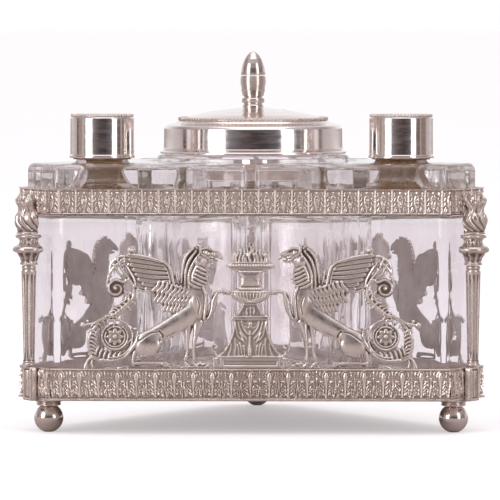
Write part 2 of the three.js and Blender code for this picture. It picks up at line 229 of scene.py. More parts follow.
class Relief:
    """A relief drawn on a grid of U and Z: D is the outline's signed distance, H the height over the back."""

    def __init__(self, u, z, step, base=None):
        self.step = step
        self.us = np.arange(u[0], u[1] + step / 2, step)
        self.zs = np.arange(z[0], z[1] + step / 2, step)
        self.U, self.Z = np.meshgrid(self.us, self.zs)
        self.D = np.full(self.U.shape, 9.0 if base is None else -9.0)
        self.H = np.full(self.U.shape, 0.0 if base is None else float(base))

    def window(self, u0, u1, z0, z1, pad):
        i0 = max(int((z0 - pad - self.zs[0]) / self.step), 0)
        i1 = min(int((z1 + pad - self.zs[0]) / self.step) + 2, len(self.zs))
        j0 = max(int((u0 - pad - self.us[0]) / self.step), 0)
        j1 = min(int((u1 + pad - self.us[0]) / self.step) + 2, len(self.us))
        return (slice(i0, i1), slice(j0, j1)) if i1 > i0 and j1 > j0 else None

    def put(self, w, d, h, inside, soft, cut):
        D, H = self.D[w], self.H[w]
        if cut is not None:  # presses a groove into what is there
            H[...] = np.where(inside, np.maximum(H - cut * h, 0.25), H)
            return
        D[...] = np.minimum(D, d)
        if soft > 0:
            k = soft
            m = np.maximum(H, h)
            blend = np.clip(1 - np.abs(H - h) / k, 0, 1) ** 2 * k / 4
            H[...] = np.where(inside, m + blend, H)
        else:
            H[...] = np.where(inside, np.maximum(H, h), H)

    def stroke(self, pts, low=0.5, high=1.0, soft=0.0, n=6, cut=None, ridge=0.0, flat=False, power=0.5):
        """Rounded stroke through [u, z, half width] points: `low` high at its edges, `high` on its crest."""
        c = spline(pts, n)
        wmax = c[:, 2].max()
        w = self.window(c[:, 0].min(), c[:, 0].max(), c[:, 1].min(), c[:, 1].max(), wmax + 1.2)
        if w is None:
            return
        U, Z = self.U[w], self.Z[w]
        best = np.full(U.shape, 1e9)
        q = np.ones(U.shape)
        for a, b in zip(c[:-1], c[1:]):
            e = b[:2] - a[:2]
            L2 = float(e @ e) or 1e-9
            t = np.clip(((U - a[0]) * e[0] + (Z - a[1]) * e[1]) / L2, 0, 1)
            dist = np.hypot(U - a[0] - t * e[0], Z - a[1] - t * e[1])
            wid = a[2] + (b[2] - a[2]) * t
            d = dist - wid
            hit = d < best
            best = np.where(hit, d, best)
            q = np.where(hit, dist / np.maximum(wid, 1e-3), q)
        inside = best < self.step
        crown = np.clip(1 - q ** 2, 0, 1) ** power
        h = low + (high - low) * crown
        if ridge:
            h = h + ridge * np.clip(1 - q / 0.28, 0, 1)
        if cut is not None:
            h = crown
        self.put(w, best, h, inside, soft, cut)

    def blob(self, cu, cz, ru, rz, ang=0.0, low=0.5, high=1.4, soft=0.6, power=0.5):
        r = max(ru, rz)
        w = self.window(cu - r, cu + r, cz - r, cz + r, 0.8)
        if w is None:
            return
        U, Z = self.U[w] - cu, self.Z[w] - cz
        ca, sa = math.cos(math.radians(ang)), math.sin(math.radians(ang))
        q = np.hypot((U * ca + Z * sa) / ru, (-U * sa + Z * ca) / rz)
        d = (q - 1) * min(ru, rz)
        h = low + (high - low) * np.clip(1 - q ** 2, 0, 1) ** power
        self.put(w, d, h, d < self.step, soft, None)

    def plate(self, pts, low=0.5, high=0.8, edge=0.6, soft=0.0, cut=None):
        """A flat-topped plate with rounded edges, from its outline."""
        p = np.array(pts, float)
        w = self.window(p[:, 0].min(), p[:, 0].max(), p[:, 1].min(), p[:, 1].max(), 0.8)
        if w is None:
            return
        U, Z = self.U[w], self.Z[w]
        best = np.full(U.shape, 1e9)
        ins = np.zeros(U.shape, bool)
        for a, b in zip(p, np.roll(p, -1, 0)):
            e = b - a
            L2 = float(e @ e) or 1e-9
            t = np.clip(((U - a[0]) * e[0] + (Z - a[1]) * e[1]) / L2, 0, 1)
            best = np.minimum(best, np.hypot(U - a[0] - t * e[0], Z - a[1] - t * e[1]))
            cross = (a[1] > Z) != (b[1] > Z)
            with np.errstate(divide="ignore", invalid="ignore"):
                xi = a[0] + (Z - a[1]) * e[0] / (e[1] if abs(e[1]) > 1e-9 else 1e-9)
            ins ^= cross & (U < xi)
        d = np.where(ins, -best, best)
        h = low + (high - low) * np.sqrt(np.clip(1 - np.clip(1 + d / edge, 0, 1) ** 2, 0, 1))
        if cut is not None:
            self.put(w, d, np.clip(-d / edge, 0, 1), d < 0, 0, cut)
        else:
            self.put(w, d, h, d < self.step, soft, None)

    def soften(self, times=1):
        H = self.H
        for _ in range(times):
            P = np.pad(H, 1, mode="edge")
            H = (4 * H + 2 * (P[:-2, 1:-1] + P[2:, 1:-1] + P[1:-1, :-2] + P[1:-1, 2:])
                 + P[:-2, :-2] + P[:-2, 2:] + P[2:, :-2] + P[2:, 2:]) / 16
        self.H = H

    def hollows(self, reach):
        """0 on what stands proud of its surroundings, 1 in the hollows, where tarnish stays."""
        H = self.H.copy()
        n = max(int(reach / self.step), 1)
        pad = np.pad(H, n, mode="edge")
        c = np.cumsum(np.cumsum(np.pad(pad, ((1, 0), (1, 0))), 0), 1)
        k = 2 * n + 1
        mean = (c[k:, k:] - c[:-k, k:] - c[k:, :-k] + c[:-k, :-k]) / (k * k)
        return mean - H

    def solid(self, back=0.0, edge=0.35, mirror=False, hollow_reach=0.7, hollow_scale=0.35):
        """Closed mesh of the relief: height towards -Y, a flat back at y = -back, U along X."""
        ins = self.D < 0
        cell = ins[:-1, :-1] | ins[1:, :-1] | ins[:-1, 1:] | ins[1:, 1:]
        used = np.zeros(ins.shape, bool)
        used[:-1, :-1] |= cell
        used[1:, :-1] |= cell
        used[:-1, 1:] |= cell
        used[1:, 1:] |= cell
        gz, gu = np.gradient(self.D, self.step)
        g2 = np.maximum(gu ** 2 + gz ** 2, 0.3)
        out = used & ~ins
        step = np.clip(self.D, 0, self.step * 1.2)
        U = np.where(out, self.U - step * gu / g2, self.U)
        Z = np.where(out, self.Z - step * gz / g2, self.Z)
        H = np.where(out, np.minimum(np.maximum(self.H, edge), edge + 0.15), np.maximum(self.H, edge))
        idx = -np.ones(ins.shape, int)
        idx[used] = np.arange(used.sum())
        n = int(used.sum())
        front = np.stack([U[used], -back - H[used], Z[used]], 1)
        rear = np.stack([U[used], np.full(n, -back), Z[used]], 1)
        i, j = np.nonzero(cell)
        a, b, c, d = idx[i, j], idx[i, j + 1], idx[i + 1, j + 1], idx[i + 1, j]
        f = np.stack([a, b, c, d], 1)
        r = np.stack([d, c, b, a], 1) + n
        # walls, along the border of the used cells
        P = np.pad(cell, 1)
        walls = []
        ii, jj = np.nonzero(cell & ~P[:-2, 1:-1])  # nothing below
        walls.append(np.stack([idx[ii, jj + 1], idx[ii, jj], idx[ii, jj] + n, idx[ii, jj + 1] + n], 1))
        ii, jj = np.nonzero(cell & ~P[2:, 1:-1])  # nothing above
        walls.append(np.stack([idx[ii + 1, jj], idx[ii + 1, jj + 1], idx[ii + 1, jj + 1] + n, idx[ii + 1, jj] + n], 1))
        ii, jj = np.nonzero(cell & ~P[1:-1, :-2])  # nothing to the left
        walls.append(np.stack([idx[ii, jj], idx[ii + 1, jj], idx[ii + 1, jj] + n, idx[ii, jj] + n], 1))
        ii, jj = np.nonzero(cell & ~P[1:-1, 2:])  # nothing to the right
        walls.append(np.stack([idx[ii + 1, jj + 1], idx[ii, jj + 1], idx[ii, jj + 1] + n, idx[ii + 1, jj + 1] + n], 1))
        quads = np.concatenate([f, r] + walls)
        verts = np.concatenate([front, rear])
        hol = np.clip(0.5 + self.hollows(hollow_reach) / hollow_scale, 0, 1)
        cavity = np.concatenate([hol[used], np.full(n, 0.67)])
        if mirror:
            verts = verts * np.array([-1, 1, 1])
            quads = quads[:, ::-1]
        return verts, quads, cavity


# Drafting units of the two relief drawings: a drawing's X and Y, Y downwards, to U and Z in mm.
def G(x, y, w=0.0):
    return (-68.544 + x * 0.0436364, 72.4 - y * 0.0436364, w * 0.0436364)


def A(x, y, w=0.0):
    return (-16.344 + x * 0.0314630, 72.4 - y * 0.0314630, w * 0.0314630)


# ------------------------------------------------------------------ griffin relief, facing +U
def draw_griffin():
    R = Relief((-62.0, -7.0), (23.6, 70.4), 0.17)
    S = R.stroke
    # --- tail: ground band, outer stalk, scroll ring, rosette
    S([(-42.36, 33.13, 0.70), (-44.11, 29.42, 0.96), (-48.03, 27.02, 1.05), (-53.27, 26.76, 0.96), (-57.11, 28.07, 0.87)], 0.5, 1.25)
    S([(-43.02, 30.51, 0.31), (-45.85, 27.89, 0.35), (-49.78, 26.76, 0.35), (-54.14, 27.02, 0.26)], 0.9, 1.65)
    S([(-57.42, 27.89, 0.57), (-58.68, 26.76, 0.52), (-59.29, 25.36, 0.65), (-59.55, 24.14, 0.83)], 0.5, 1.0)
    S([(-57.11, 26.84, 0.39), (-57.37, 25.53, 0.48), (-57.11, 24.23, 0.44)], 0.5, 0.9)
    S([(-57.11, 28.07, 0.70), (-58.25, 30.95, 0.61), (-58.42, 34.44, 0.61), (-57.11, 37.49, 0.65), (-55.45, 39.59, 0.65)], 0.45, 1.05)
    R.plate([G(x, y)[:2] for x, y in ((300,752), (250,792), (226,850), (232,920), (246,980), (262,1020), (300,1004), (292,940), (282,880), (300,820), (330,780))], 0.4, 0.7, 0.6)
    for a in range(7):
        y = 792 + a * 31
        x = 246 + 6 * math.sin(a * 1.3)
        S([G(x,y,12), G(x+26,y+8,11), G(x+48,y+26,6)], 0.45, 1.15, n=4, ridge=0.1)
        S([G(x-4,y+8,10), G(x-20,y+20,5)], 0.4, 0.9, n=3)
    R.blob(*(-48.91, 35.31, 0.00)[:2], 4.7, 4.7, 0, 0.3, 0.55, 0.0)
    ring = [(450+106*math.cos(t), 850+106*math.sin(t)) for t in np.linspace(-0.9, 4.2, 15)]
    S([G(x, y, w) for (x, y), w in zip(ring, (5, 7, 9, 11, 12, 13, 13, 13, 12, 11, 10, 9, 8, 7, 5))], 0.5, 1.4, n=3)
    ring = [(450+84*math.cos(t), 850+84*math.sin(t)) for t in np.linspace(-2.4, 3.6, 15)]
    S([G(x, y, 7) for x, y in ring], 0.5, 1.05, n=3)
    S([(-51.44, 41.16, 0.35), (-49.34, 41.33, 0.48), (-49.17, 39.76, 0.39), (-49.52, 38.71, 0.26)], 0.5, 1.3, n=5)
    S([(-50.91, 41.51, 0.35), (-51.61, 40.11, 0.39), (-51.26, 38.97, 0.26)], 0.5, 1.2, n=5)
    for k in range(8):
        t = k * TAU / 8
        S([G(450+16*math.cos(t), 850+16*math.sin(t), 10), G(450+44*math.cos(t), 850+44*math.sin(t), 19), G(450+66*math.cos(t), 850+66*math.sin(t), 6)], 0.55, 1.15, n=3, ridge=-0.22)
    R.blob(*(-48.91, 35.31, 0.00)[:2], 0.85, 0.85, 0, 1.0, 1.6, 0.0)
    # leaf that springs from the ground band into the ring
    R.plate([G(x, y)[:2] for x, y in ((262,1016), (280,960), (310,930), (360,962), (420,984), (480,982), (540,950), (585,900), (600,930), (560,985), (470,1040), (350,1046))], 0.45, 0.8, 0.7)
    for k, (x, y) in enumerate(((300,948), (328,968), (362,984), (400,996), (440,1000), (480,994))):
        S([G(x-8,y+46,12), G(x+2,y+10,16), G(x+18,y-22,7)], 0.6, 1.5 - 0.06 * k, n=4, ridge=0.15)
    S([(-42.54, 35.31, 0.35), (-42.97, 32.25, 0.52), (-44.72, 29.81, 0.52), (-47.60, 28.07, 0.39), (-51.09, 27.72, 0.22)], 0.8, 1.55)
    S([(-44.11, 32.91, 0.39), (-42.54, 35.83, 0.39), (-44.11, 39.24, 0.44), (-46.73, 41.07, 0.39), (-49.78, 41.68, 0.35)], 0.45, 1.1)
    S([(-44.46, 40.02, 0.31), (-42.89, 38.71, 0.31), (-41.66, 38.10, 0.26)], 0.45, 0.9, n=4)
    R.blob(*(-41.58, 38.23, 0.00)[:2], 0.62, 0.62, 0, 0.6, 1.4, 0.0)
    # --- stem from the plume's volute down to the tail, with its leaves
    S([(-42.19, 53.64, 0.44), (-41.84, 50.58, 0.57), (-43.23, 47.75, 0.61), (-45.85, 45.43, 0.65), (-48.69, 43.08, 0.65), (-52.31, 42.12, 0.61), (-56.06, 40.28, 0.57), (-59.60, 39.59, 0.48)], 0.5, 1.15)
    S([(-42.10, 52.94, 0.17), (-42.19, 50.32, 0.22), (-43.85, 47.96, 0.22), (-46.55, 45.61, 0.22), (-49.34, 43.43, 0.22), (-52.57, 42.55, 0.17), (-56.15, 40.63, 0.17)], 0.8, 1.5)
    R.blob(*(-60.56, 39.59, 0.00)[:2], 1.05, 1.05, 0, 0.5, 1.5, 0.0)
    R.blob(*(-58.86, 40.89, 0.00)[:2], 0.6, 0.6, 0, 0.4, 1.0, 0.0)
    R.plate([G(x, y)[:2] for x, y in ((590,470), (548,476), (536,520), (520,560), (480,590), (436,600), (430,640), (400,656), (400,690), (460,694), (520,650), (572,600), (606,540), (612,480))], 0.45, 0.75, 0.6)
    for x, y, x2, y2, w in ((600,520,556,486,14), (585,560,522,530,14), (552,596,494,566,13), (520,620,462,592,13), (492,644,432,606,11), (470,664,426,628,10), (440,682,400,652,11), (592,560,620,590,11), (556,604,580,636,10), (372,700,420,722,11), (330,716,372,752,10), (300,736,342,776,10), (430,688,478,706,11), (280,740,250,770,10), (408,690,372,672,9)):
        S([G(x,y,w), G((x+x2)/2+6,(y+y2)/2-8,w), G(x2,y2,w*0.45)], 0.45, 1.25, n=4, ridge=0.12)
    S([(-49.17, 45.78, 0.26), (-49.69, 46.65, 0.31), (-49.08, 47.35, 0.22)], 0.5, 1.2, n=3)
    # --- plume behind the wing, and its volute
    S([(-44.11, 64.11, 0.87), (-47.34, 63.50, 1.13), (-49.78, 61.49, 1.05), (-50.74, 58.44, 0.70), (-51.26, 56.17, 0.48)], 0.4, 0.95)
    for k in range(6):
        x, y = 560 - 26 * k, 196 + 5 * k * k * 0.8
        S([G(x,y,10), G(x-24,y+24,10), G(x-40,y+62,6), G(x-34,y+96,4)], 0.5, 1.2, n=5)
    S([(-48.03, 63.32, 0.39), (-46.38, 59.75, 0.48), (-43.85, 56.60, 0.48), (-42.10, 53.64, 0.44)], 0.6, 1.5)
    S([(-49.34, 61.49, 0.35), (-47.77, 58.52, 0.39), (-45.42, 56.43, 0.39), (-42.89, 54.07, 0.35)], 0.5, 1.25)
    S([(-45.85, 62.28, 0.35), (-43.85, 59.31, 0.39), (-42.10, 56.17, 0.39), (-41.49, 53.37, 0.31)], 0.5, 1.3)
    spiral = [(462+(80-6.4*i)*math.cos(t), 450+(80-6.4*i)*math.sin(t)) for i, t in enumerate(np.linspace(-0.75, -0.75-3.1*math.pi, 12))]
    S([(-42.19, 52.94, 0.48), (-42.80, 54.86, 0.52), (-44.11, 55.99, 0.57)] + [G(x, y, 13-0.5*i) for i, (x, y) in enumerate(spiral)], 0.5, 1.45, n=5)
    R.blob(*(-48.47, 52.76, 0.00)[:2], 3.3, 3.3, 0, 0.35, 0.6, 0.0)
    S([(-51.18, 57.04, 0.44), (-51.61, 55.29, 0.44), (-51.70, 53.55, 0.39)], 0.5, 1.2, n=4)
    # curled leaves that hang from the volute
    S([(-45.42, 51.89, 0.35), (-44.63, 50.58, 0.57), (-44.98, 48.84, 0.52), (-46.03, 48.14, 0.26)], 0.55, 1.3, n=5)
    S([(-42.36, 51.89, 0.39), (-42.10, 50.15, 0.61), (-42.71, 48.49, 0.57), (-44.11, 48.14, 0.26)], 0.55, 1.4, n=5)
    S([(-44.11, 50.58, 0.31), (-43.76, 49.27, 0.44), (-44.11, 47.70, 0.44)], 0.6, 1.45, n=4)
    R.blob(*(-48.38, 52.94, 0.00)[:2], 0.55, 0.55, 0, 0.6, 1.3, 0.0)
    # --- hind leg and haunch
    S([(-40.62, 31.38, 1.31), (-42.10, 28.59, 0.74), (-42.45, 26.15, 0.57), (-42.27, 24.92, 0.61)], 0.6, 1.3)
    S([(-42.10, 25.53, 0.65), (-38.87, 25.71, 0.57), (-34.51, 25.71, 0.61), (-31.45, 25.45, 0.74), (-29.97, 25.10, 0.52)], 0.6, 1.3)
    for k in range(3):
        S([G(842+16*k,1064,8), G(856+16*k,1082,8), G(864+16*k,1100,5)], 0.8, 1.5, n=3)
    S([(-42.10, 24.57, 0.44), (-38.00, 24.23, 0.31), (-30.14, 24.14, 0.26)], 0.4, 0.7)
    S([(-40.70, 37.49, 0.31), (-40.79, 35.31, 0.65), (-41.66, 32.60, 0.87), (-43.23, 30.42, 0.70)], 0.9, 1.75, soft=0.2)
    # --- trunk
    S([(-19.41, 47.96, 3.58), (-20.28, 44.47, 4.01), (-24.47, 41.51, 3.75), (-29.71, 38.71, 3.14), (-34.51, 36.01, 2.97), (-37.74, 33.74, 3.67)], 0.7, 2.1, soft=0.7, power=0.45)
    R.blob(*(-18.36, 47.96, 0.00)[:2], 3.0, 6.8, 8, 0.8, 2.25, 0.8, 0.5)
    R.blob(*(-37.04, 32.34, 0.00)[:2], 4.9, 4.3, 18, 0.9, 2.45, 0.5, 0.45)
    S([(-32.06, 36.36, 0.39), (-32.06, 33.56, 0.44), (-33.37, 30.86, 0.44), (-36.17, 28.76, 0.39), (-39.39, 28.24, 0.39)], 1.1, 1.75, soft=0.2)
    R.stroke([(-32.76, 37.49, 0.31), (-31.45, 35.31, 0.39), (-31.98, 32.25, 0.39), (-33.63, 29.81, 0.31)], cut=0.5)
    R.stroke([(-39.96, 34.00, 0.26), (-36.25, 36.53, 0.35), (-32.76, 37.23, 0.26)], cut=0.3)
    # fringe of hair along the belly
    for k in range(9):
        x, y = 852 + 19 * k, 868 - 4.2 * k - 0.55 * k * k
        S([G(x+14,y-26,8), G(x,y-6,8), G(x-12,y+10,4)], 0.8, 1.5, n=3)
    # --- standing forelegs
    S([(-22.29, 40.02, 1.92), (-22.64, 36.62, 1.05), (-22.81, 33.13, 0.70), (-22.81, 29.64, 0.61), (-23.16, 27.45, 0.74)], 0.7, 1.55, soft=0.2)
    S([(-18.80, 40.81, 1.92), (-19.58, 37.05, 1.13), (-20.28, 33.13, 0.74), (-20.46, 29.64, 0.65), (-20.28, 27.19, 0.79)], 0.8, 1.85, soft=0.2)
    for x in (1030, 1046, 1096, 1112):
        S([G(x,1010,7), G(x-3,1040,8), G(x-8,1066,4)], 0.7, 1.55, n=3)
    for x, y in ((1040,1062), (1108,1062)):
        S([G(x-16,y,11), G(x+4,y+18,15), G(x+22,y+36,13)], 0.6, 1.25, n=4)
    S([(-24.91, 24.23, 0.31), (-20.54, 24.40, 0.39), (-15.31, 24.23, 0.31)], 0.4, 0.8)
    for x, y in ((1120,1086), (1150,1070), (1182,1076), (1214,1090)):
        R.blob(*G(x,y,0)[:2], 0.85, 0.6, 25, 0.5, 1.1, 0.0)
    R.stroke([(-21.15, 39.24, 0.26), (-21.42, 36.18, 0.31), (-21.50, 33.13, 0.22)], cut=0.55)
    # --- raised foreleg and paw
    S([(-16.53, 41.85, 1.13), (-15.22, 41.94, 0.70), (-13.74, 45.00, 0.96), (-13.13, 48.14, 1.18), (-12.43, 50.58, 0.65)], 0.6, 1.6)
    S([(-12.60, 50.06, 0.57), (-11.73, 51.37, 0.57), (-9.63, 51.72, 0.61), (-7.63, 51.11, 0.57)], 0.6, 1.5)
    for k in range(3):
        S([G(1336+20*k,466,8), G(1350+20*k,486,8), G(1352+20*k,502,4)], 0.8, 1.65, n=3)
    S([(-14.43, 48.49, 0.22), (-13.91, 50.15, 0.26), (-12.51, 51.72, 0.26)], 1.0, 1.7, n=5)
    # --- wing: panel, primaries, coverts
    R.plate([(-43.50, 65.42), (-38.00, 64.37), (-31.89, 62.71), (-28.66, 59.66), (-27.35, 55.12), (-20.89, 52.24), (-21.59, 45.78), (-24.91, 44.82), (-29.97, 45.00), (-33.63, 48.49), (-35.82, 51.63), (-41.40, 52.68), (-42.80, 56.25), (-44.98, 60.18)], 0.5, 0.95, 0.9)
    prim = [((868,236),(716,196),(578,176)), ((884,262),(732,234),(590,214)), ((896,292),(748,274),(604,254)), ((906,324),(770,316),(624,294)), ((912,356),(790,356),(646,334)), ((914,388),(806,394),(668,374)), ((912,416),(820,428),(700,412)), ((910,440),(836,458),(726,452))]
    for k, (a, b, c) in enumerate(reversed(prim)):
        S([G(*a,13), G(*b,20), G(*c,21), G(c[0]-16,c[1]-2,10)], 0.75+0.05*k, 1.4+0.07*k, n=5, ridge=-0.18, power=0.6)
    for row, (x0, x1, n, y0, dy, lean) in enumerate(((866,1062,8,548,92,-14), (800,1078,10,478,96,-34), (800,1090,9,424,84,-44))):
        for k in range(n):
            t = k / (n - 1)
            x = x0 + (x1 - x0) * t
            y = y0 + (30 if row else 4) * (t - 0.4) - (24 * (1 - t) if row == 2 else 0) + 8 * math.sin(math.pi * t)
            wd = 14 + 1.5 * row
            S([G(x+16,y,wd*0.6), G(x+4,y+dy*0.5,wd), G(x+lean*0.6,y+dy*0.86,wd*1.05), G(x+lean*0.8,y+dy,wd*0.5)], 0.85+0.16*row, 1.6+0.17*row, n=5, ridge=-0.22, power=0.6)
    S([(-31.45, 62.54, 0.48), (-29.27, 60.71, 0.65), (-28.31, 58.00, 0.74), (-27.79, 55.29, 0.65), (-27.26, 53.64, 0.44)], 1.2, 2.3, n=6)
    S([(-31.63, 61.49, 0.35), (-29.97, 59.66, 0.39), (-29.18, 57.13, 0.39), (-28.92, 54.51, 0.35)], 1.1, 1.85, n=6)
    S([(-27.26, 53.64, 0.39), (-24.47, 52.94, 0.44), (-21.42, 52.07, 0.48), (-20.72, 51.72, 0.35)], 1.2, 1.95, n=6)
    S([(-43.50, 64.63, 0.70), (-43.06, 65.77, 0.61), (-42.80, 66.64, 0.57)], 0.7, 1.5)
    R.blob(*(-42.80, 66.64, 0.00)[:2], 1.6, 1.6, 0, 0.7, 1.9, 0.0)
    R.stroke([(-43.58, 66.64, 0.17), (-42.80, 67.43, 0.17), (-42.01, 66.64, 0.17), (-42.80, 65.85, 0.17), (-43.50, 66.47, 0.17)], cut=0.35)
    # small volute under the panel's tips
    S([(-40.62, 52.41, 0.31), (-38.43, 51.72, 0.39), (-36.43, 52.07, 0.39), (-36.17, 52.94, 0.26)], 0.7, 1.3)
    # --- neck with its mane, head, beak
    R.plate([(-17.75, 68.21)[:2], (-19.32, 68.12)[:2], (-20.72, 67.69)[:2], (-21.07, 67.08)[:2], (-22.73, 66.29)[:2], (-23.16, 65.42)[:2], (-23.95, 64.11)[:2], (-24.12, 62.80)[:2], (-24.73, 60.97)[:2], (-24.73, 59.31)[:2], (-25.26, 57.13)[:2], (-25.61, 54.51)[:2], (-24.47, 52.76)[:2], (-18.36, 52.76)[:2], (-16.62, 59.31)[:2], (-15.74, 64.11)[:2]], 0.7, 1.25, 0.8)
    S([(-16.79, 64.11, 2.01), (-18.97, 60.97, 2.79), (-20.54, 57.39, 3.40), (-20.11, 53.64, 3.84), (-18.80, 50.58, 3.23)], 0.8, 2.15, soft=0.5, power=0.45)
    for a in (((1096,118),(1040,178),(1014,270),(1000,400)), ((1122,140),(1066,214),(1036,310),(1030,424)), ((1150,160),(1096,242),(1062,340),(1062,440)), ((1160,200),(1124,276),(1096,350),(1100,440))):
        S([G(*a[0],10), G(*a[1],15), G(*a[2],16), G(*a[3],9)], 1.2, 2.35, n=6)
    for k, (x, y) in enumerate(((1150,92), (1120,98), (1090,112), (1062,132), (1040,156), (1024,186), (1014,220), (1006,256), (1000,294), (996,334))):
        S([G(x+12,y+18,11), G(x-4,y+2,8), G(x-14+k,y-8+2*k,3)], 0.9, 1.7, n=3)
    # small leaf between the mane and the wing
    S([(-26.57, 59.31, 0.22), (-26.74, 57.56, 0.48), (-26.22, 55.64, 0.52), (-25.61, 53.90, 0.39)], 0.6, 1.3, n=4)
    R.blob(*(-18.54, 62.71, 0.00)[:2], 2.1, 2.4, -20, 1.2, 2.6, 0.3)
    for x0, y0, x1, y1 in ((1140,268,1214,300), (1132,300,1226,334), (1120,330,1230,372), (1108,356,1222,404), (1090,384,1196,424), (1064,404,1160,444)):
        S([G(x0,y0,15), G((x0+x1)/2,(y0+y1)/2+8,19), G(x1,y1,6)], 1.3, 2.55, n=5, ridge=0.12)
    R.blob(*(-15.83, 65.24, 0.00)[:2], 2.9, 2.35, -8, 0.9, 2.25, 0.4)
    R.blob(*(-14.78, 64.11, 0.00)[:2], 2.0, 1.25, -4, 0.9, 2.1, 0.3)
    S([(-15.48, 65.51, 1.66), (-13.13, 65.24, 1.31), (-11.21, 64.72, 0.83), (-10.33, 63.67, 0.44)], 0.8, 2.05, soft=0.2)
    R.blob(*(-11.03, 64.37, 0.00)[:2], 0.8, 0.75, 0, 0.9, 2.2, 0.0)
    S([(-16.18, 63.32, 0.87), (-14.00, 62.71, 0.61), (-11.99, 62.71, 0.35)], 0.7, 1.6)
    R.stroke([(-14.61, 63.67, 0.17), (-12.95, 63.59, 0.17), (-11.29, 63.50, 0.13)], cut=0.7)
    S([(-17.93, 66.12, 0.74), (-18.01, 67.51, 0.61), (-17.58, 68.73, 0.22)], 0.9, 2.4, n=4)
    for k in range(6):
        R.stroke([G(1186+17*k,128+3*k,4), G(1180+17*k,150+4*k,5), G(1190+17*k,172+4*k,3)], cut=0.22, n=3)
    S([(-17.23, 67.16, 0.35), (-15.48, 67.43, 0.39), (-13.65, 66.64, 0.31), (-12.25, 65.59, 0.17)], 1.4, 2.4, n=5)
    R.blob(*(-14.61, 65.68, 0.00)[:2], 0.5, 0.4, 0, 1.8, 2.5, 0.0)
    R.stroke([(-15.22, 65.85, 0.13), (-14.61, 66.20, 0.17), (-13.91, 65.59, 0.13)], cut=0.4)
    for x0, y0, x1, y1 in ((1170,176,1212,196), (1182,158,1222,180), (1252,178,1292,190), (1190,196,1226,214)):
        R.stroke([G(x0,y0,3), G(x1,y1,3)], cut=0.3, n=3)
    # chest plates catching the light
    S([(-17.23, 53.55, 0.57), (-16.01, 50.23, 0.70), (-16.09, 46.22, 0.74), (-16.70, 41.85, 0.57)], 1.3, 2.3, soft=0.3)
    R.stroke([(-19.23, 49.71, 0.22), (-18.36, 46.65, 0.35), (-18.80, 43.60, 0.26)], cut=0.3)
    R.soften(1)
    return R


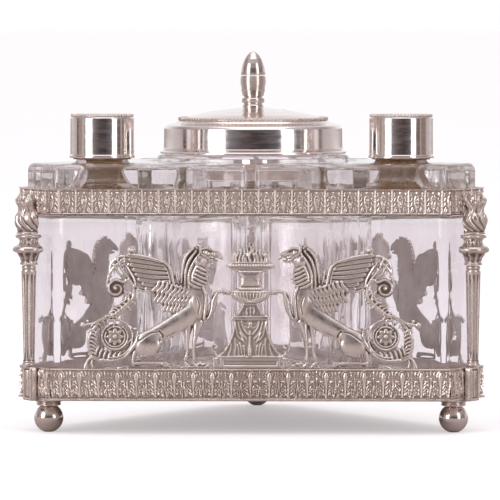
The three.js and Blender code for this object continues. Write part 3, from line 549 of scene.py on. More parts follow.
# ------------------------------------------------------------------ altar with its flaming vase
def draw_altar():
    R = Relief((-15.2, 15.2), (23.6, 71.2), 0.16)

    def S(pts, *a, both=True, **k):
        R.stroke(pts, *a, **k)
        if both:
            R.stroke([(-u, z, w) for u, z, w in pts], *a, **k)

    def B(c, ru, rz, ang=0, *a):
        R.blob(c[0], c[1], ru, rz, ang, *a)
        if abs(c[0]) > 0.05:
            R.blob(-c[0], c[1], ru, rz, -ang, *a)

    def sym(half):
        return [(u, z) for u, z in half] + [(-u, z) for u, z in reversed(half)]

    # plinth, framed panel and end blocks
    R.plate([(-11.0, 24.0), (11.0, 24.0), (11.0, 27.7), (-11.0, 27.7)], 0.8, 1.5, 0.35)
    R.plate([(-9.7, 24.9), (9.7, 24.9), (9.7, 26.9), (-9.7, 26.9)], cut=0.4, edge=0.2)
    S([(-11.62, 28.23, 0.19)[:2] + (0.22,), (-12.2, 27.6, 0.22)], 0.9, 1.3, n=2)
    for u in (-12.6, 12.6):
        R.plate([(u-0.95, 24.0), (u+0.95, 24.0), (u+0.8, 27.2), (u-0.8, 27.2)], 0.7, 1.3, 0.3)
        R.plate([(u-1.15, 26.9), (u+1.15, 26.9), (u+1.15, 27.8), (u-1.15, 27.8)], 0.8, 1.5, 0.25)
    S([(-11.4, 28.1, 0.35), (11.4, 28.1, 0.35)], 1.0, 1.7, both=False, n=2)
    # volutes with their scroll arms
    sp = [(925+(52-5.0*i)*math.cos(t), 1300+(52-5.0*i)*math.sin(t)) for i, t in enumerate(np.linspace(1.9, 1.9-2.6*math.pi, 10))]
    S([A(x, y, 11-0.6*i) for i, (x, y) in enumerate(sp)], 0.6, 1.5, n=5)
    B((12.76, 31.50, 0.00)[:2], 0.55, 0.55, 0, 0.7, 1.6, 0.0)
    S([(12.92, 29.61, 0.44), (11.66, 28.35, 0.50), (10.27, 29.30, 0.50), (8.83, 30.08, 0.41)], 0.6, 1.4)
    S([(12.13, 28.60, 0.38), (12.44, 27.72, 0.31)], 0.6, 1.2, n=3)
    # body of the altar
    body = [(6.25, 41.41), (6.06, 38.42), (6.78, 35.27), (8.51, 31.81), (10.40, 29.30), (10.40, 27.85)]
    R.plate(sym([(u, z) for u, z in body]), 0.5, 0.95, 0.8)
    S([(5.93, 41.25, 0.41), (5.81, 38.73, 0.41), (6.37, 35.90, 0.44), (7.69, 32.76, 0.47), (9.20, 30.24, 0.44)], 0.8, 1.9, n=6)
    S([(5.37, 40.94, 0.25), (5.18, 38.42, 0.28), (4.55, 35.90, 0.31), (3.04, 34.02, 0.28)], 0.8, 1.7, n=6)
    S([(5.68, 34.64, 0.31), (5.37, 31.81, 0.38), (5.68, 28.98, 0.38), (5.37, 27.97, 0.25)], 0.7, 1.6, n=5)
    S([(6.94, 33.07, 0.28), (7.19, 30.55, 0.35), (7.95, 28.48, 0.28)], 0.7, 1.5, n=5)
    S([(3.79, 36.85, 0.28), (3.04, 35.27, 0.35), (2.41, 33.51, 0.28)], 0.8, 1.7, n=4)
    for x, y, x2, y2 in ((640,1250,616,1400), (668,1266,650,1404), (600,1280,586,1400)):
        S([A(x,y,8), A((x+x2)/2-6,(y+y2)/2,11), A(x2,y2,8)], 0.7, 1.55, n=4)
    # swagged cloth at the top, centre spindle
    S([(3.16, 40.94, 0.38), (2.72, 39.05, 0.44), (1.65, 37.16, 0.38), (0.65, 36.22, 0.28)], 0.8, 1.7, n=5)
    S([(4.42, 40.81, 0.31), (3.79, 38.11, 0.38), (2.53, 35.90, 0.31), (1.28, 34.64, 0.22)], 0.7, 1.5, n=5)
    B((0.00, 39.99, 0.00)[:2], 1.0, 1.15, 0, 0.9, 1.9, 0.0)
    for k in (-1, 1):
        R.stroke([(0.00, 39.18, 0.22), A(519.5+k*34,1078,8), A(519.5+k*56,1062,5)], 0.8, 1.6, n=4)
    R.stroke([(-0.11, 37.48, 0.28), (-0.11, 35.27, 0.35), (-0.17, 33.07, 0.47), (-0.23, 31.18, 0.82), (-0.23, 29.92, 1.07), (-0.23, 28.60, 0.76)], 0.9, 2.3, n=6)
    for k in range(5):
        B(A(560+30*k,1404-6*(k%2),0)[:2], 0.5, 0.42, 0, 0.8, 1.6, 0.0)
    # table top
    R.plate(sym([(6.62, 41.25), (6.88, 41.94), (6.62, 42.67)]), 0.9, 1.9, 0.4)
    S([(-7.22, 41.82, 0.22), (0.00, 41.82, 0.22)], 1.4, 2.0, n=2)
    S([(-6.28, 42.70, 0.16), (0.00, 42.70, 0.16)], 1.4, 1.95, n=2)
    B((5.68, 43.27, 0.00)[:2], 0.5, 0.55, 0, 0.8, 1.6, 0.0)
    # spreading feet between table and bowl
    R.plate(sym([(4.93, 42.82), (3.79, 44.71), (2.91, 46.29), (2.66, 47.04)]), 0.5, 0.9, 0.6)
    S([(2.66, 46.47, 0.35), (3.35, 45.09, 0.44), (4.23, 43.58, 0.41)], 0.9, 2.1, n=5)
    S([(1.28, 45.66, 0.38), (1.46, 44.59, 0.44), (1.02, 43.58, 0.28)], 0.7, 1.6, n=4)
    R.stroke([(0.00, 45.97, 0.28), (0.00, 44.40, 0.41), (0.00, 43.14, 0.25)], 0.8, 1.8, n=4)
    R.plate(sym([(2.72, 46.66), (2.85, 47.23), (2.60, 47.54)]), 0.9, 1.8, 0.3)
    # gadrooned bowl
    R.plate(sym([(2.53, 47.48), (4.42, 48.11), (6.18, 49.43), (7.06, 50.69), (7.19, 51.38)]), 0.9, 1.7, 0.8)
    for k in range(-7, 8):
        t = k / 7
        x0, x1 = 519.5 + 214 * math.sin(t * 1.25) / math.sin(1.25), 519.5 + 78 * t
        R.stroke([A(x0,684,12.5), A(519.5+(x0-519.5)*0.86,732,12), A(x1,784,6)], 1.35, 2.35 - 0.5 * t * t, n=4)
    R.plate(sym([(7.32, 51.13), (7.44, 51.63), (7.00, 52.26)]), 1.0, 1.8, 0.3)
    for k in range(-9, 10):
        R.blob(k * 0.78, (-16.34, 51.57, 0.00)[1], 0.33, 0.42, 0, 1.3, 2.3 - 0.004 * k * k, 0.0)
    R.plate(sym([(4.67, 52.07), (4.55, 52.96), (4.04, 53.33)]), 1.0, 1.9, 0.35)
    for k in range(-5, 6):
        R.blob(k * 0.82, (-16.34, 52.70, 0.00)[1], 0.34, 0.36, 0, 1.3, 2.2, 0.0)
    # neck, with a small sprig
    R.plate(sym([(4.11, 53.14), (3.73, 54.78), (3.79, 56.67), (4.42, 58.56), (5.68, 59.75)]), 0.8, 2.0, 2.2)
    for k in range(-4, 5):
        R.blob(k * 0.55, A(0,505+9*abs(k),0)[1], 0.26, 0.36, 12 * k, 1.6, 2.25 - 0.05 * abs(k), 0.0)
        R.blob(k * 0.9, (-16.34, 58.87, 0.00)[1], 0.34, 0.5, 0, 1.2, 1.95, 0.0)
        R.blob(k * 0.8, (-16.34, 53.99, 0.00)[1], 0.3, 0.34, 0, 1.2, 2.0, 0.0)
    # rim with its beads
    R.plate(sym([(5.68, 59.56), (7.88, 60.07), (8.70, 60.88), (8.20, 61.70), (6.31, 62.14)]), 0.9, 1.7, 0.5)
    S([(-8.67, 60.19, 0.19), (0.00, 59.88, 0.22)], 1.0, 1.9, n=2)
    for k in range(-8, 9):
        R.blob(k * 1.0, (-16.34, 61.14, 0.00)[1] + 0.0016 * k * k, 0.42, 0.5, 0, 1.2, 2.3 - 0.005 * k * k, 0.0)
    S([(-7.53, 62.02, 0.19), (0.00, 62.27, 0.22)], 1.0, 1.9, n=2)
    # flames
    R.plate(sym([(6.62, 62.08), (6.18, 63.90), (4.93, 65.29), (2.53, 66.11), (0.80, 66.74), (0.33, 68.62)]), 0.4, 0.8, 1.0)
    for x, y, w, b in ((700,196,17,706), (668,200,18,680), (632,168,18,650), (594,150,19,610), (560,120,19,566), (722,250,13,724), (648,224,13,640), (585,206,13,580)):
        S([A(b,318,w), A(b+10*math.sin(x),268,w), A((x+b)/2-14,226,w*0.85), A(x,y,w*0.35)], 0.6, 1.9, n=5, ridge=0.1)
    R.stroke([(0.00, 62.39, 0.69), (-0.42, 64.53, 0.69), (0.39, 66.74, 0.53), (-0.17, 68.62, 0.44), (0.08, 69.69, 0.16)], 0.8, 2.3, n=6)
    R.stroke([(0.39, 67.68, 0.25), (0.90, 68.69, 0.25), (0.33, 69.38, 0.19), (-0.23, 68.88, 0.16)], 0.9, 2.1, n=5)
    R.soften(1)
    return R


# ------------------------------------------------------------------ die-rolled gallery strips
def draw_lower(length, tiles):
    z0, z1 = LOW_Z
    R = Relief((-length / 2, length / 2), (z0, z1), 0.185, base=1.0)
    p = length / tiles
    zt, zb = z1 - 0.75, z0 + 0.55
    for i in range(tiles + 1):
        u = -length / 2 + p * i
        # teardrop leaf in the middle of the tile, ogive round it
        for c in ([u + p / 2] if i < tiles else []):
            R.stroke([(c, zt - 1.1, 0.62), (c, zt - 2.3, 0.92), (c, zt - 3.6, 0.62), (c, zt - 5.2, 0.44), (c, zb + 0.1, 0.32)], 1.05, 1.62, n=5, ridge=0.0)
            for s in (-1, 1):
                R.stroke([(c + s * 1.25, zt - 2.6, 0.14), (c + s * 1.12, zt - 1.2, 0.17), (c + s * 0.55, zt - 0.35, 0.17), (c, zt - 0.02, 0.15)], 1.0, 1.45, n=5)
                R.stroke([(c + s * 0.55, zb + 0.4, 0.17), (c + s * 1.05, zb + 1.6, 0.2), (c + s * 0.85, zb + 2.9, 0.2), (c + s * 1.3, zb + 3.9, 0.14)], 1.0, 1.42, n=4)
                for j in range(4):
                    R.stroke([(c + s * 0.75, zb + 0.5 + 1.25 * j, 0.13), (c + s * 1.35, zb + 1.0 + 1.25 * j, 0.2), (c + s * 1.75, zb + 1.75 + 1.25 * j, 0.1)], 1.0, 1.4, n=3)
                R.blob(c + s * 2.05, zb + 5.3, 0.3, 0.45, -s * 12, 1.0, 1.5, 0.0)
                R.blob(c + s * 1.6, zt - 3.9, 0.26, 0.42, s * 30, 1.0, 1.4, 0.0)
                R.stroke([(c + s * 1.95, zt - 0.3, 0.12), (c + s * 2.3, zt - 1.3, 0.2), (c + s * 2.05, zt - 2.4, 0.1)], 1.0, 1.42, n=3)
        # lancet at the joint between tiles
        R.stroke([(u, zb + 6.7, 0.1), (u, zb + 4.6, 0.26), (u, zb + 3.4, 0.3)], 1.0, 1.58, n=4)
        R.stroke([(u, zt - 0.1, 0.12), (u, zt - 1.2, 0.2), (u, zt - 1.9, 0.1)], 1.0, 1.4, n=4)
        for s in (-1, 1):
            R.stroke([(u, zb + 4.2, 0.22), (u + s * 0.3, zb + 2.2, 0.25), (u + s * 0.58, zb + 0.1, 0.24)], 1.0, 1.58, n=4)
            R.stroke([(u + s * 0.95, zb + 0.3, 0.16), (u + s * 1.2, zb + 1.3, 0.22), (u + s * 0.98, zb + 2.5, 0.12)], 1.0, 1.45, n=3)
            R.stroke([(u + s * 0.6, zb + 3.2, 0.12), (u + s * 1.05, zb + 4.0, 0.2), (u + s * 1.0, zb + 5.0, 0.1)], 1.0, 1.42, n=3)
    grain = 0.035 * (np.sin(R.U * 9.1) * np.sin(R.Z * 8.3 + R.U * 2.0) + np.sin(R.U * 5.3 + R.Z * 6.1))
    R.H = np.where(R.H < 1.05, R.H + grain, R.H)
    R.stroke([(-length, z1 - 0.3, 0.34), (length, z1 - 0.3, 0.34)], 1.05, 1.6, n=2)
    R.stroke([(-length, z0 + 0.27, 0.24), (length, z0 + 0.27, 0.24)], 1.0, 1.5, n=2)
    return R


def draw_upper(length, tiles):
    z0, z1 = UP_Z
    R = Relief((-length / 2, length / 2), (z0, z1), 0.185, base=1.0)
    p = length / tiles
    zt, zb = z1 - 0.85, z0 + 1.15
    h = zt - zb
    for i in range(tiles + 1):
        u = -length / 2 + p * i
        for c in ([u + p / 2] if i < tiles else []):
            # tall leaf with a bright midrib and side lobes
            R.stroke([(c, zb, 0.36), (c, zb + h * 0.4, 0.42), (c, zb + h * 0.75, 0.46), (c, zt + 0.1, 0.4)], 1.1, 1.62, n=4)
            for s in (-1, 1):
                for j in range(4):
                    z = zb + 0.35 + j * h * 0.23
                    R.stroke([(c + s * 0.3, z, 0.14), (c + s * 0.95, z + 0.55, 0.25), (c + s * (1.45 - 0.12 * j), z + 1.55, 0.14)], 1.0, 1.34 + 0.02 * j, n=4)
                R.stroke([(c + s * 0.5, zb + 0.1, 0.15), (c + s * 1.5, zb + 0.55, 0.22), (c + s * 1.75, zb + 1.5, 0.12)], 1.0, 1.42, n=4)
                R.blob(c + s * 0.85, zt - 0.75, 0.3, 0.5, -s * 28, 1.0, 1.5, 0.0)
        # narrow water leaf between, with a bud on top
        R.blob(u, zt - 0.7, 0.34, 0.5, 0, 1.0, 1.36, 0.0)
        R.stroke([(u, zb + 0.1, 0.16), (u, zb + h * 0.35, 0.22), (u, zb + h * 0.62, 0.12)], 1.0, 1.36, n=4)
        for s in (-1, 1):
            R.stroke([(u, zb + 0.6, 0.12), (u + s * 0.55, zb + 2.6, 0.22), (u + s * 0.75, zb + 4.9, 0.14), (u + s * 0.3, zb + 6.1, 0.12)], 1.0, 1.34, n=4)
            R.stroke([(u, zb + 2.0, 0.1), (u + s * 0.42, zb + 3.4, 0.16), (u + s * 0.28, zb + 5.0, 0.1)], 1.0, 1.38, n=4)
    grain = 0.035 * (np.sin(R.U * 8.7) * np.sin(R.Z * 8.9 + R.U * 1.7) + np.sin(R.U * 5.9 + R.Z * 5.1))
    R.H = np.where(R.H < 1.05, R.H + grain, R.H)
    R.stroke([(-length, z1 - 0.3, 0.33), (length, z1 - 0.3, 0.33)], 1.05, 1.6, n=2)
    R.stroke([(-length, z0 + 0.78, 0.2), (length, z0 + 0.78, 0.2)], 1.0, 1.5, n=2)
    R.stroke([(-length, z0 + 0.27, 0.25), (length, z0 + 0.27, 0.25)], 1.0, 1.6, n=2)
    return R


# ==== PIECES
# ------------------------------------------------------------------ materials
def new_material(name):
    m = bpy.data.materials.new(name)
    m.use_nodes = True
    nt = m.node_tree
    nt.nodes.clear()
    out = nt.nodes.new("ShaderNodeOutputMaterial")
    bsdf = nt.nodes.new("ShaderNodeBsdfPrincipled")
    nt.links.new(bsdf.outputs[0], out.inputs[0])
    return m, nt, bsdf, out


def coords(nt, scale=(1, 1, 1)):
    tc = nt.nodes.new("ShaderNodeTexCoord")
    mp = nt.nodes.new("ShaderNodeMapping")
    mp.inputs["Scale"].default_value = scale
    nt.links.new(tc.outputs["Object"], mp.inputs["Vector"])
    return mp.outputs["Vector"]


def noise(nt, vec, scale, detail=3.0, rough=0.55):
    n = nt.nodes.new("ShaderNodeTexNoise")
    n.inputs["Scale"].default_value = scale
    n.inputs["Detail"].default_value = detail
    n.inputs["Roughness"].default_value = rough
    nt.links.new(vec, n.inputs["Vector"])
    return n.outputs["Fac"]


def ramp(nt, fac, stops):
    r = nt.nodes.new("ShaderNodeValToRGB")
    cr = r.color_ramp
    while len(cr.elements) < len(stops):
        cr.elements.new(0.5)
    for e, (p, c) in zip(cr.elements, stops):
        e.position = p
        e.color = (*c, 1) if len(c) == 3 else c
    nt.links.new(fac, r.inputs["Fac"])
    return r.outputs["Color"]


def remap(nt, fac, a, b, c, d):
    m = nt.nodes.new("ShaderNodeMapRange")
    for key, v in zip(("From Min", "From Max", "To Min", "To Max"), (a, b, c, d)):
        m.inputs[key].default_value = v
    nt.links.new(fac, m.inputs["Value"])
    return m.outputs["Result"]


def math_node(nt, op, a, b=None, clamp=False):
    m = nt.nodes.new("ShaderNodeMath")
    m.operation = op
    m.use_clamp = clamp
    for i, v in enumerate((a, b)):
        if v is None:
            continue
        if isinstance(v, (int, float)):
            m.inputs[i].default_value = v
        else:
            nt.links.new(v, m.inputs[i])
    return m.outputs[0]


def mix_color(nt, fac, a, b):
    m = nt.nodes.new("ShaderNodeMix")
    m.data_type = "RGBA"
    if isinstance(fac, (int, float)):
        m.inputs[0].default_value = fac
    else:
        nt.links.new(fac, m.inputs[0])
    for idx, v in ((6, a), (7, b)):
        if isinstance(v, tuple):
            m.inputs[idx].default_value = (*v, 1)
        else:
            nt.links.new(v, m.inputs[idx])
    return m.outputs[2]


def bump(nt, height, strength, distance, normal=None):
    b = nt.nodes.new("ShaderNodeBump")
    b.inputs["Strength"].default_value = strength
    b.inputs["Distance"].default_value = distance
    nt.links.new(height, b.inputs["Height"])
    if normal is not None:
        nt.links.new(normal, b.inputs["Normal"])
    return b.outputs["Normal"]


def attribute(nt, name):
    a = nt.nodes.new("ShaderNodeAttribute")
    a.attribute_name = name
    return a.outputs["Fac"]


def chased_silver(name, cavity=True, dark=1.0, rough=(0.2, 0.36), clean=(0.90, 0.83, 0.80)):
    m, nt, bsdf, _ = new_material(name)
    v = coords(nt)
    cloud = noise(nt, v, 55, 4)
    fine = noise(nt, v, 900, 3, 0.6)
    mid = noise(nt, v, 260, 3)
    r0, g0, b0 = clean
    clean = ramp(nt, cloud, [(0.3, (r0 * 0.89, g0 * 0.86, b0 * 0.84)), (0.52, clean), (0.75, (r0 * 0.945, g0 * 0.93, b0 * 0.91))])
    tarnish = ramp(nt, mid, [(0.3, (0.12, 0.085, 0.068)), (0.7, (0.27, 0.205, 0.172))])
    if cavity:
        hollow = attribute(nt, "cavity")
        grime = math_node(nt, "ADD", remap(nt, hollow, 0.46, 0.78, 0.0, 0.94 * dark), remap(nt, mid, 0.35, 0.75, -0.08, 0.14), True)
    else:
        grime = remap(nt, mid, 0.5, 0.8, 0.0, 0.35 * dark)
    col = mix_color(nt, grime, clean, tarnish)
    nt.links.new(col, bsdf.inputs["Base Color"])
    bsdf.inputs["Metallic"].default_value = 1.0
    r = math_node(nt, "ADD", remap(nt, mid, 0.3, 0.7, rough[0], rough[1]), math_node(nt, "MULTIPLY", grime, 0.22))
    nt.links.new(r, bsdf.inputs["Roughness"])
    n1 = bump(nt, mid, 0.25, 0.00025)
    n2 = bump(nt, fine, 0.25, 0.00008, n1)
    nt.links.new(n2, bsdf.inputs["Normal"])
    return m


def polished_silver(name, rough=(0.10, 0.18), tint=(0.90, 0.84, 0.825)):
    m, nt, bsdf, _ = new_material(name)
    v = coords(nt)
    streak = noise(nt, coords(nt, (1, 1, 7)), 160, 4, 0.6)  # rubbed marks, round the piece
    cloud = noise(nt, v, 38, 4)
    pit = noise(nt, v, 1400, 2, 0.5)
    dull = tuple(c * 0.86 for c in tint)
    warm = (tint[0] * 0.97, tint[1] * 0.93, tint[2] * 0.88)
    col = mix_color(nt, remap(nt, cloud, 0.45, 0.75, 0.0, 0.8), tint, warm)
    spots = remap(nt, pit, 0.66, 0.74, 0.0, 0.6)
    col = mix_color(nt, spots, col, dull)
    nt.links.new(col, bsdf.inputs["Base Color"])
    bsdf.inputs["Metallic"].default_value = 1.0
    nt.links.new(math_node(nt, "ADD", remap(nt, streak, 0.35, 0.7, rough[0], rough[1]), math_node(nt, "MULTIPLY", spots, 0.1)), bsdf.inputs["Roughness"])
    n1 = bump(nt, cloud, 0.2, 0.0006)
    n2 = bump(nt, streak, 0.12, 0.00005, n1)
    nt.links.new(n2, bsdf.inputs["Normal"])
    return m


def clear_glass(name, stain=False, tint=(0.985, 0.976, 0.978)):
    m, nt, bsdf, out = new_material(name)
    v = coords(nt)
    wave = noise(nt, coords(nt, (1, 1, 0.35)), 70, 2)
    seed = noise(nt, v, 420, 2)
    bsdf.inputs["Transmission Weight"].default_value = 1.0
    bsdf.inputs["IOR"].default_value = 1.5
    cloud = noise(nt, v, 30, 3)
    col = mix_color(nt, remap(nt, cloud, 0.35, 0.7, 0.0, 1.0), tint, (tint[0] * 0.985, tint[1] * 0.98, tint[2] * 0.975))
    rough = remap(nt, seed, 0.55, 0.8, 0.0, 0.02)
    if stain:
        dried = math_node(nt, "MULTIPLY", attribute(nt, "stain"), remap(nt, noise(nt, coords(nt, (1, 1, 0.5)), 130, 4), 0.36, 0.62, 0.25, 1.25), True)
        col = mix_color(nt, math_node(nt, "MULTIPLY", dried, 3.0, True), col, (0.20, 0.095, 0.028))
        nt.links.new(remap(nt, dried, 0.0, 1.0, 1.0, 0.12), bsdf.inputs["Transmission Weight"])
        rough = math_node(nt, "ADD", rough, math_node(nt, "MULTIPLY", dried, 0.3))
    nt.links.new(col, bsdf.inputs["Base Color"])
    nt.links.new(rough, bsdf.inputs["Roughness"])
    nt.links.new(bump(nt, wave, 0.3, 0.0012), bsdf.inputs["Normal"])
    # light passes the glass on its way to the floor, so that its shadow is pale
    lp = nt.nodes.new("ShaderNodeLightPath")
    tr = nt.nodes.new("ShaderNodeBsdfTransparent")
    tr.inputs[0].default_value = (0.90, 0.885, 0.90, 1)
    mx = nt.nodes.new("ShaderNodeMixShader")
    nt.links.new(lp.outputs["Is Shadow Ray"], mx.inputs[0])
    nt.links.new(bsdf.outputs[0], mx.inputs[1])
    nt.links.new(tr.outputs[0], mx.inputs[2])
    nt.links.new(mx.outputs[0], out.inputs[0])
    return m


def cork_material(name):
    m, nt, bsdf, _ = new_material(name)
    v = coords(nt)
    grain = noise(nt, v, 620, 4, 0.65)
    vo = nt.nodes.new("ShaderNodeTexVoronoi")
    vo.inputs["Scale"].default_value = 900
    nt.links.new(v, vo.inputs["Vector"])
    col = ramp(nt, grain, [(0.3, (0.07, 0.042, 0.018)), (0.55, (0.25, 0.16, 0.07)), (0.78, (0.40, 0.27, 0.13))])
    pores = remap(nt, vo.outputs["Distance"], 0.05, 0.35, 1.0, 0.0)
    col = mix_color(nt, math_node(nt, "MULTIPLY", pores, 0.6), col, (0.06, 0.035, 0.015))
    nt.links.new(col, bsdf.inputs["Base Color"])
    nt.links.new(remap(nt, grain, 0.3, 0.7, 0.65, 0.95), bsdf.inputs["Roughness"])
    nt.links.new(bump(nt, vo.outputs["Distance"], 0.5, 0.0002), bsdf.inputs["Normal"])
    return m


SILVER = chased_silver("chased_silver")
SILVER_BAND = chased_silver("rolled_silver", dark=0.72, rough=(0.2, 0.36), clean=(0.97, 0.875, 0.83))
SILVER_PLAIN = chased_silver("plain_silver", cavity=False, rough=(0.16, 0.3))
SILVER_TORCH = chased_silver("cast_silver", dark=0.98, rough=(0.2, 0.34), clean=(0.78, 0.70, 0.67))
SILVER_ALTAR = chased_silver("cast_altar_silver", dark=0.62, rough=(0.22, 0.38))
POLISHED = polished_silver("polished_silver")
SATIN = polished_silver("satin_silver", rough=(0.16, 0.26), tint=(0.80, 0.73, 0.70))
POLISHED_FEET = polished_silver("rubbed_silver", rough=(0.14, 0.24), tint=(0.84, 0.78, 0.75))
GLASS = clear_glass("glass_body", stain=True)
GLASS_JAR = clear_glass("glass_jar")
CORK = cork_material("cork_sleeve")
# ------------------------------------------------------------------ swept tubes
def sweep(points, radii, segs=10, n=6, flat=1.0):
    """Closed tube through points, of changing radius, with rounded ends. flat narrows it across its width."""
    c = spline([list(p) + [r] for p, r in zip(points, radii)], n)
    P, R = c[:, :3], np.maximum(c[:, 3], 0.02)
    T = np.gradient(P, axis=0)
    T /= np.linalg.norm(T, axis=1)[:, None]
    up = np.array([0, 0, 1.0]) if abs(T[0][2]) < 0.9 else np.array([1.0, 0, 0])
    rings = []
    prev = np.cross(T[0], up)
    prev /= np.linalg.norm(prev)
    th = np.arange(segs) * TAU / segs
    ends = [(-0.85, 0.5), (-0.5, 0.85)]
    for i in range(len(P)):
        nrm = prev - T[i] * (prev @ T[i])
        nrm /= np.linalg.norm(nrm)
        prev = nrm
        b = np.cross(T[i], nrm)

        def ring(off, k):
            return P[i] + T[i] * off * R[i] + R[i] * k * (np.cos(th)[:, None] * nrm * flat + np.sin(th)[:, None] * b)
        if i == 0:
            rings += [ring(o, k) for o, k in ends]
        rings.append(ring(0, 1))
        if i == len(P) - 1:
            rings += [ring(-o, k) for o, k in reversed(ends)]
    v = np.concatenate(rings + [(P[0] - T[0] * R[0])[None], (P[-1] + T[-1] * R[-1])[None]])
    m = len(rings)
    quads, tris = [], []
    for i in range(m - 1):
        a = np.arange(segs) + i * segs
        quads.append(np.stack([a, np.roll(a, -1), np.roll(a, -1) + segs, a + segs], 1))
    a = np.arange(segs)
    tris.append(np.stack([np.full(segs, m * segs), np.roll(a, -1), a], 1))
    a = a + (m - 1) * segs
    tris.append(np.stack([a, np.roll(a, -1), np.full(segs, m * segs + 1)], 1))
    return v, np.concatenate(quads), np.concatenate(tris)


def outward(me):
    """Turns a closed mesh's faces outwards."""
    import bmesh
    bm = bmesh.new()
    bm.from_mesh(me)
    bmesh.ops.recalc_face_normals(bm, faces=bm.faces[:])
    bm.to_mesh(me)
    bm.free()
    return me


def beads(ring_r, bead_r, z, count, squash=1.0, rings=6, segs=10, proud=0.0):
    """A ring of beads on a fine wire."""
    parts = [ball((ring_r * math.cos(t), ring_r * math.sin(t), z), bead_r, rings, segs, squash)
             for t in (np.arange(count) + 0.5) * TAU / count]
    wire = [(ring_r + bead_r * 0.55 * math.cos(a), z - bead_r * 0.35 + bead_r * 0.5 * math.sin(a)) for a in np.arange(8) * TAU / 8]
    parts.append(lathe(wire, count * 2, closed=True))
    return joined(parts)


# ------------------------------------------------------------------ reliefs on the three sides
def mitred(R, length, face):
    v, q, cav = R.solid(back=face - STRIP, edge=0.9, hollow_reach=0.55, hollow_scale=0.3)
    v[:, 1] = np.maximum(v[:, 1], -face)
    lim = length / 2 - (face + v[:, 1]) * math.tan(math.radians(30)) - 0.17
    span = max(R.us[-1], -R.us[0])
    v[:, 0] *= lim / span
    z0, z1 = LOW_Z if R.zs[0] < 40 else UP_Z
    v[:, 2] = z0 + (v[:, 2] - R.zs[0]) * (z1 - z0) / (R.zs[-1] - R.zs[0])
    return v, q, cav


def relief_mesh(name, R, mirror=False, edge=0.55):
    v, q, cav = R.solid(back=SIDE - 1.7, edge=edge, mirror=mirror)
    v[:, 1] = np.maximum(v[:, 1], -(SIDE + 0.9))
    return mesh_of(name, v, q, attrs={"cavity": cav})


griffin = draw_griffin()
griffin_a = relief_mesh("griffin_a", griffin)
griffin_b = relief_mesh("griffin_b", griffin, mirror=True)
altar_me = relief_mesh("altar", draw_altar(), edge=0.6)


def strip_mesh(name, R, length, face):
    v, q, cav = mitred(R, length, face)
    return mesh_of(name, v, q, attrs={"cavity": cav}, sharp=50)


lower_long = strip_mesh("lower_long", draw_lower(L_SIDE, 21), L_SIDE, SIDE)
upper_long = strip_mesh("upper_long", draw_upper(L_SIDE, 24), L_SIDE, SIDE)
lower_short = strip_mesh("lower_short", draw_lower(W_CUT, 4), W_CUT, CORNER)
upper_short = strip_mesh("upper_short", draw_upper(W_CUT, 4), W_CUT, CORNER)

for k, side in enumerate(SIDES):
    M = turn(k)
    piece(f"griffin_relief_{side}_a", griffin_a, "stand", SILVER, M, f"griffin_{side}_a")
    piece(f"griffin_relief_{side}_b", griffin_b, "stand", SILVER, M, f"griffin_{side}_b")
    piece(f"altar_relief_{side}", altar_me, "stand", SILVER_ALTAR, M, f"altar_{side}")
    piece(f"lower_band_{side}", lower_long, "stand", SILVER_BAND, M, f"lower_gallery_{side}")
    piece(f"upper_band_{side}", upper_long, "stand", SILVER_BAND, M, f"upper_gallery_{side}")
TO_CORNER = Matrix.Rotation(math.radians(60), 4, "Z")
for k, corner in enumerate(CORNERS):
    M = turn(k) @ TO_CORNER
    piece(f"lower_band_corner_{corner}", lower_short, "stand", SILVER_BAND, M, f"lower_gallery_corner_{corner}")
    piece(f"upper_band_corner_{corner}", upper_short, "stand", SILVER_BAND, M, f"upper_gallery_corner_{corner}")


# ------------------------------------------------------------------ plan outlines of the stand and the bottles
def crossing(a, da, b, db):
    det = math.cos(a) * math.sin(b) - math.sin(a) * math.cos(b)
    return ((da * math.sin(b) - db * math.sin(a)) / det, (db * math.cos(a) - da * math.cos(b)) / det)


def hexagon(side, corner):
    out = []
    for k in range(3):
        n0, nc, before = (math.radians(a + 120 * k) for a in (-90, -30, -150))
        out += [crossing(before, corner, n0, side), crossing(n0, side, nc, corner)]
    return out


def loft(rings, cap_low=True, cap_high=True):
    """Bridges outlines [(points, z), ...] of one length; a cap is a fan about its middle."""
    m = len(rings[0][0])
    v = [np.column_stack([np.array(p), np.full(m, z)]) for p, z in rings]
    q, t = [], []
    for i in range(len(rings) - 1):
        a = np.arange(m) + i * m
        q.append(np.stack([a, np.roll(a, -1), np.roll(a, -1) + m, a + m], 1))
    v = np.concatenate(v)
    for cap, base in ((cap_low, 0), (cap_high, (len(rings) - 1) * m)):
        if cap:
            mid = len(v)
            v = np.concatenate([v, v[base:base + m].mean(0)[None]])
            a = np.arange(m) + base
            t.append(np.stack([np.roll(a, -1), a, np.full(m, mid)], 1) if base == 0 else np.stack([a, np.roll(a, -1), np.full(m, mid)], 1))
    return v, np.concatenate(q), (np.concatenate(t) if t else np.zeros((0, 3), int))


_lo, _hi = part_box("base_plate")
z0, z1 = _lo[2] / MM, _hi[2] / MM
rings = []
for inset, z in ((0.5, z0), (0.16, z0 + 0.05), (0.0, z0 + 0.2), (0.0, z1 - 0.2), (0.16, z1 - 0.05), (0.5, z1)):
    rings.append((fillet(hexagon(SIDE + 0.3 - inset, CORNER + 0.3 - inset), 0.8, 5, closed=True), z))
v, q, t = loft(rings)
piece("base_tray", outward(mesh_of("base_tray", v, q, t, sharp=40)), "stand", SILVER_PLAIN, turn(0), "base_plate")


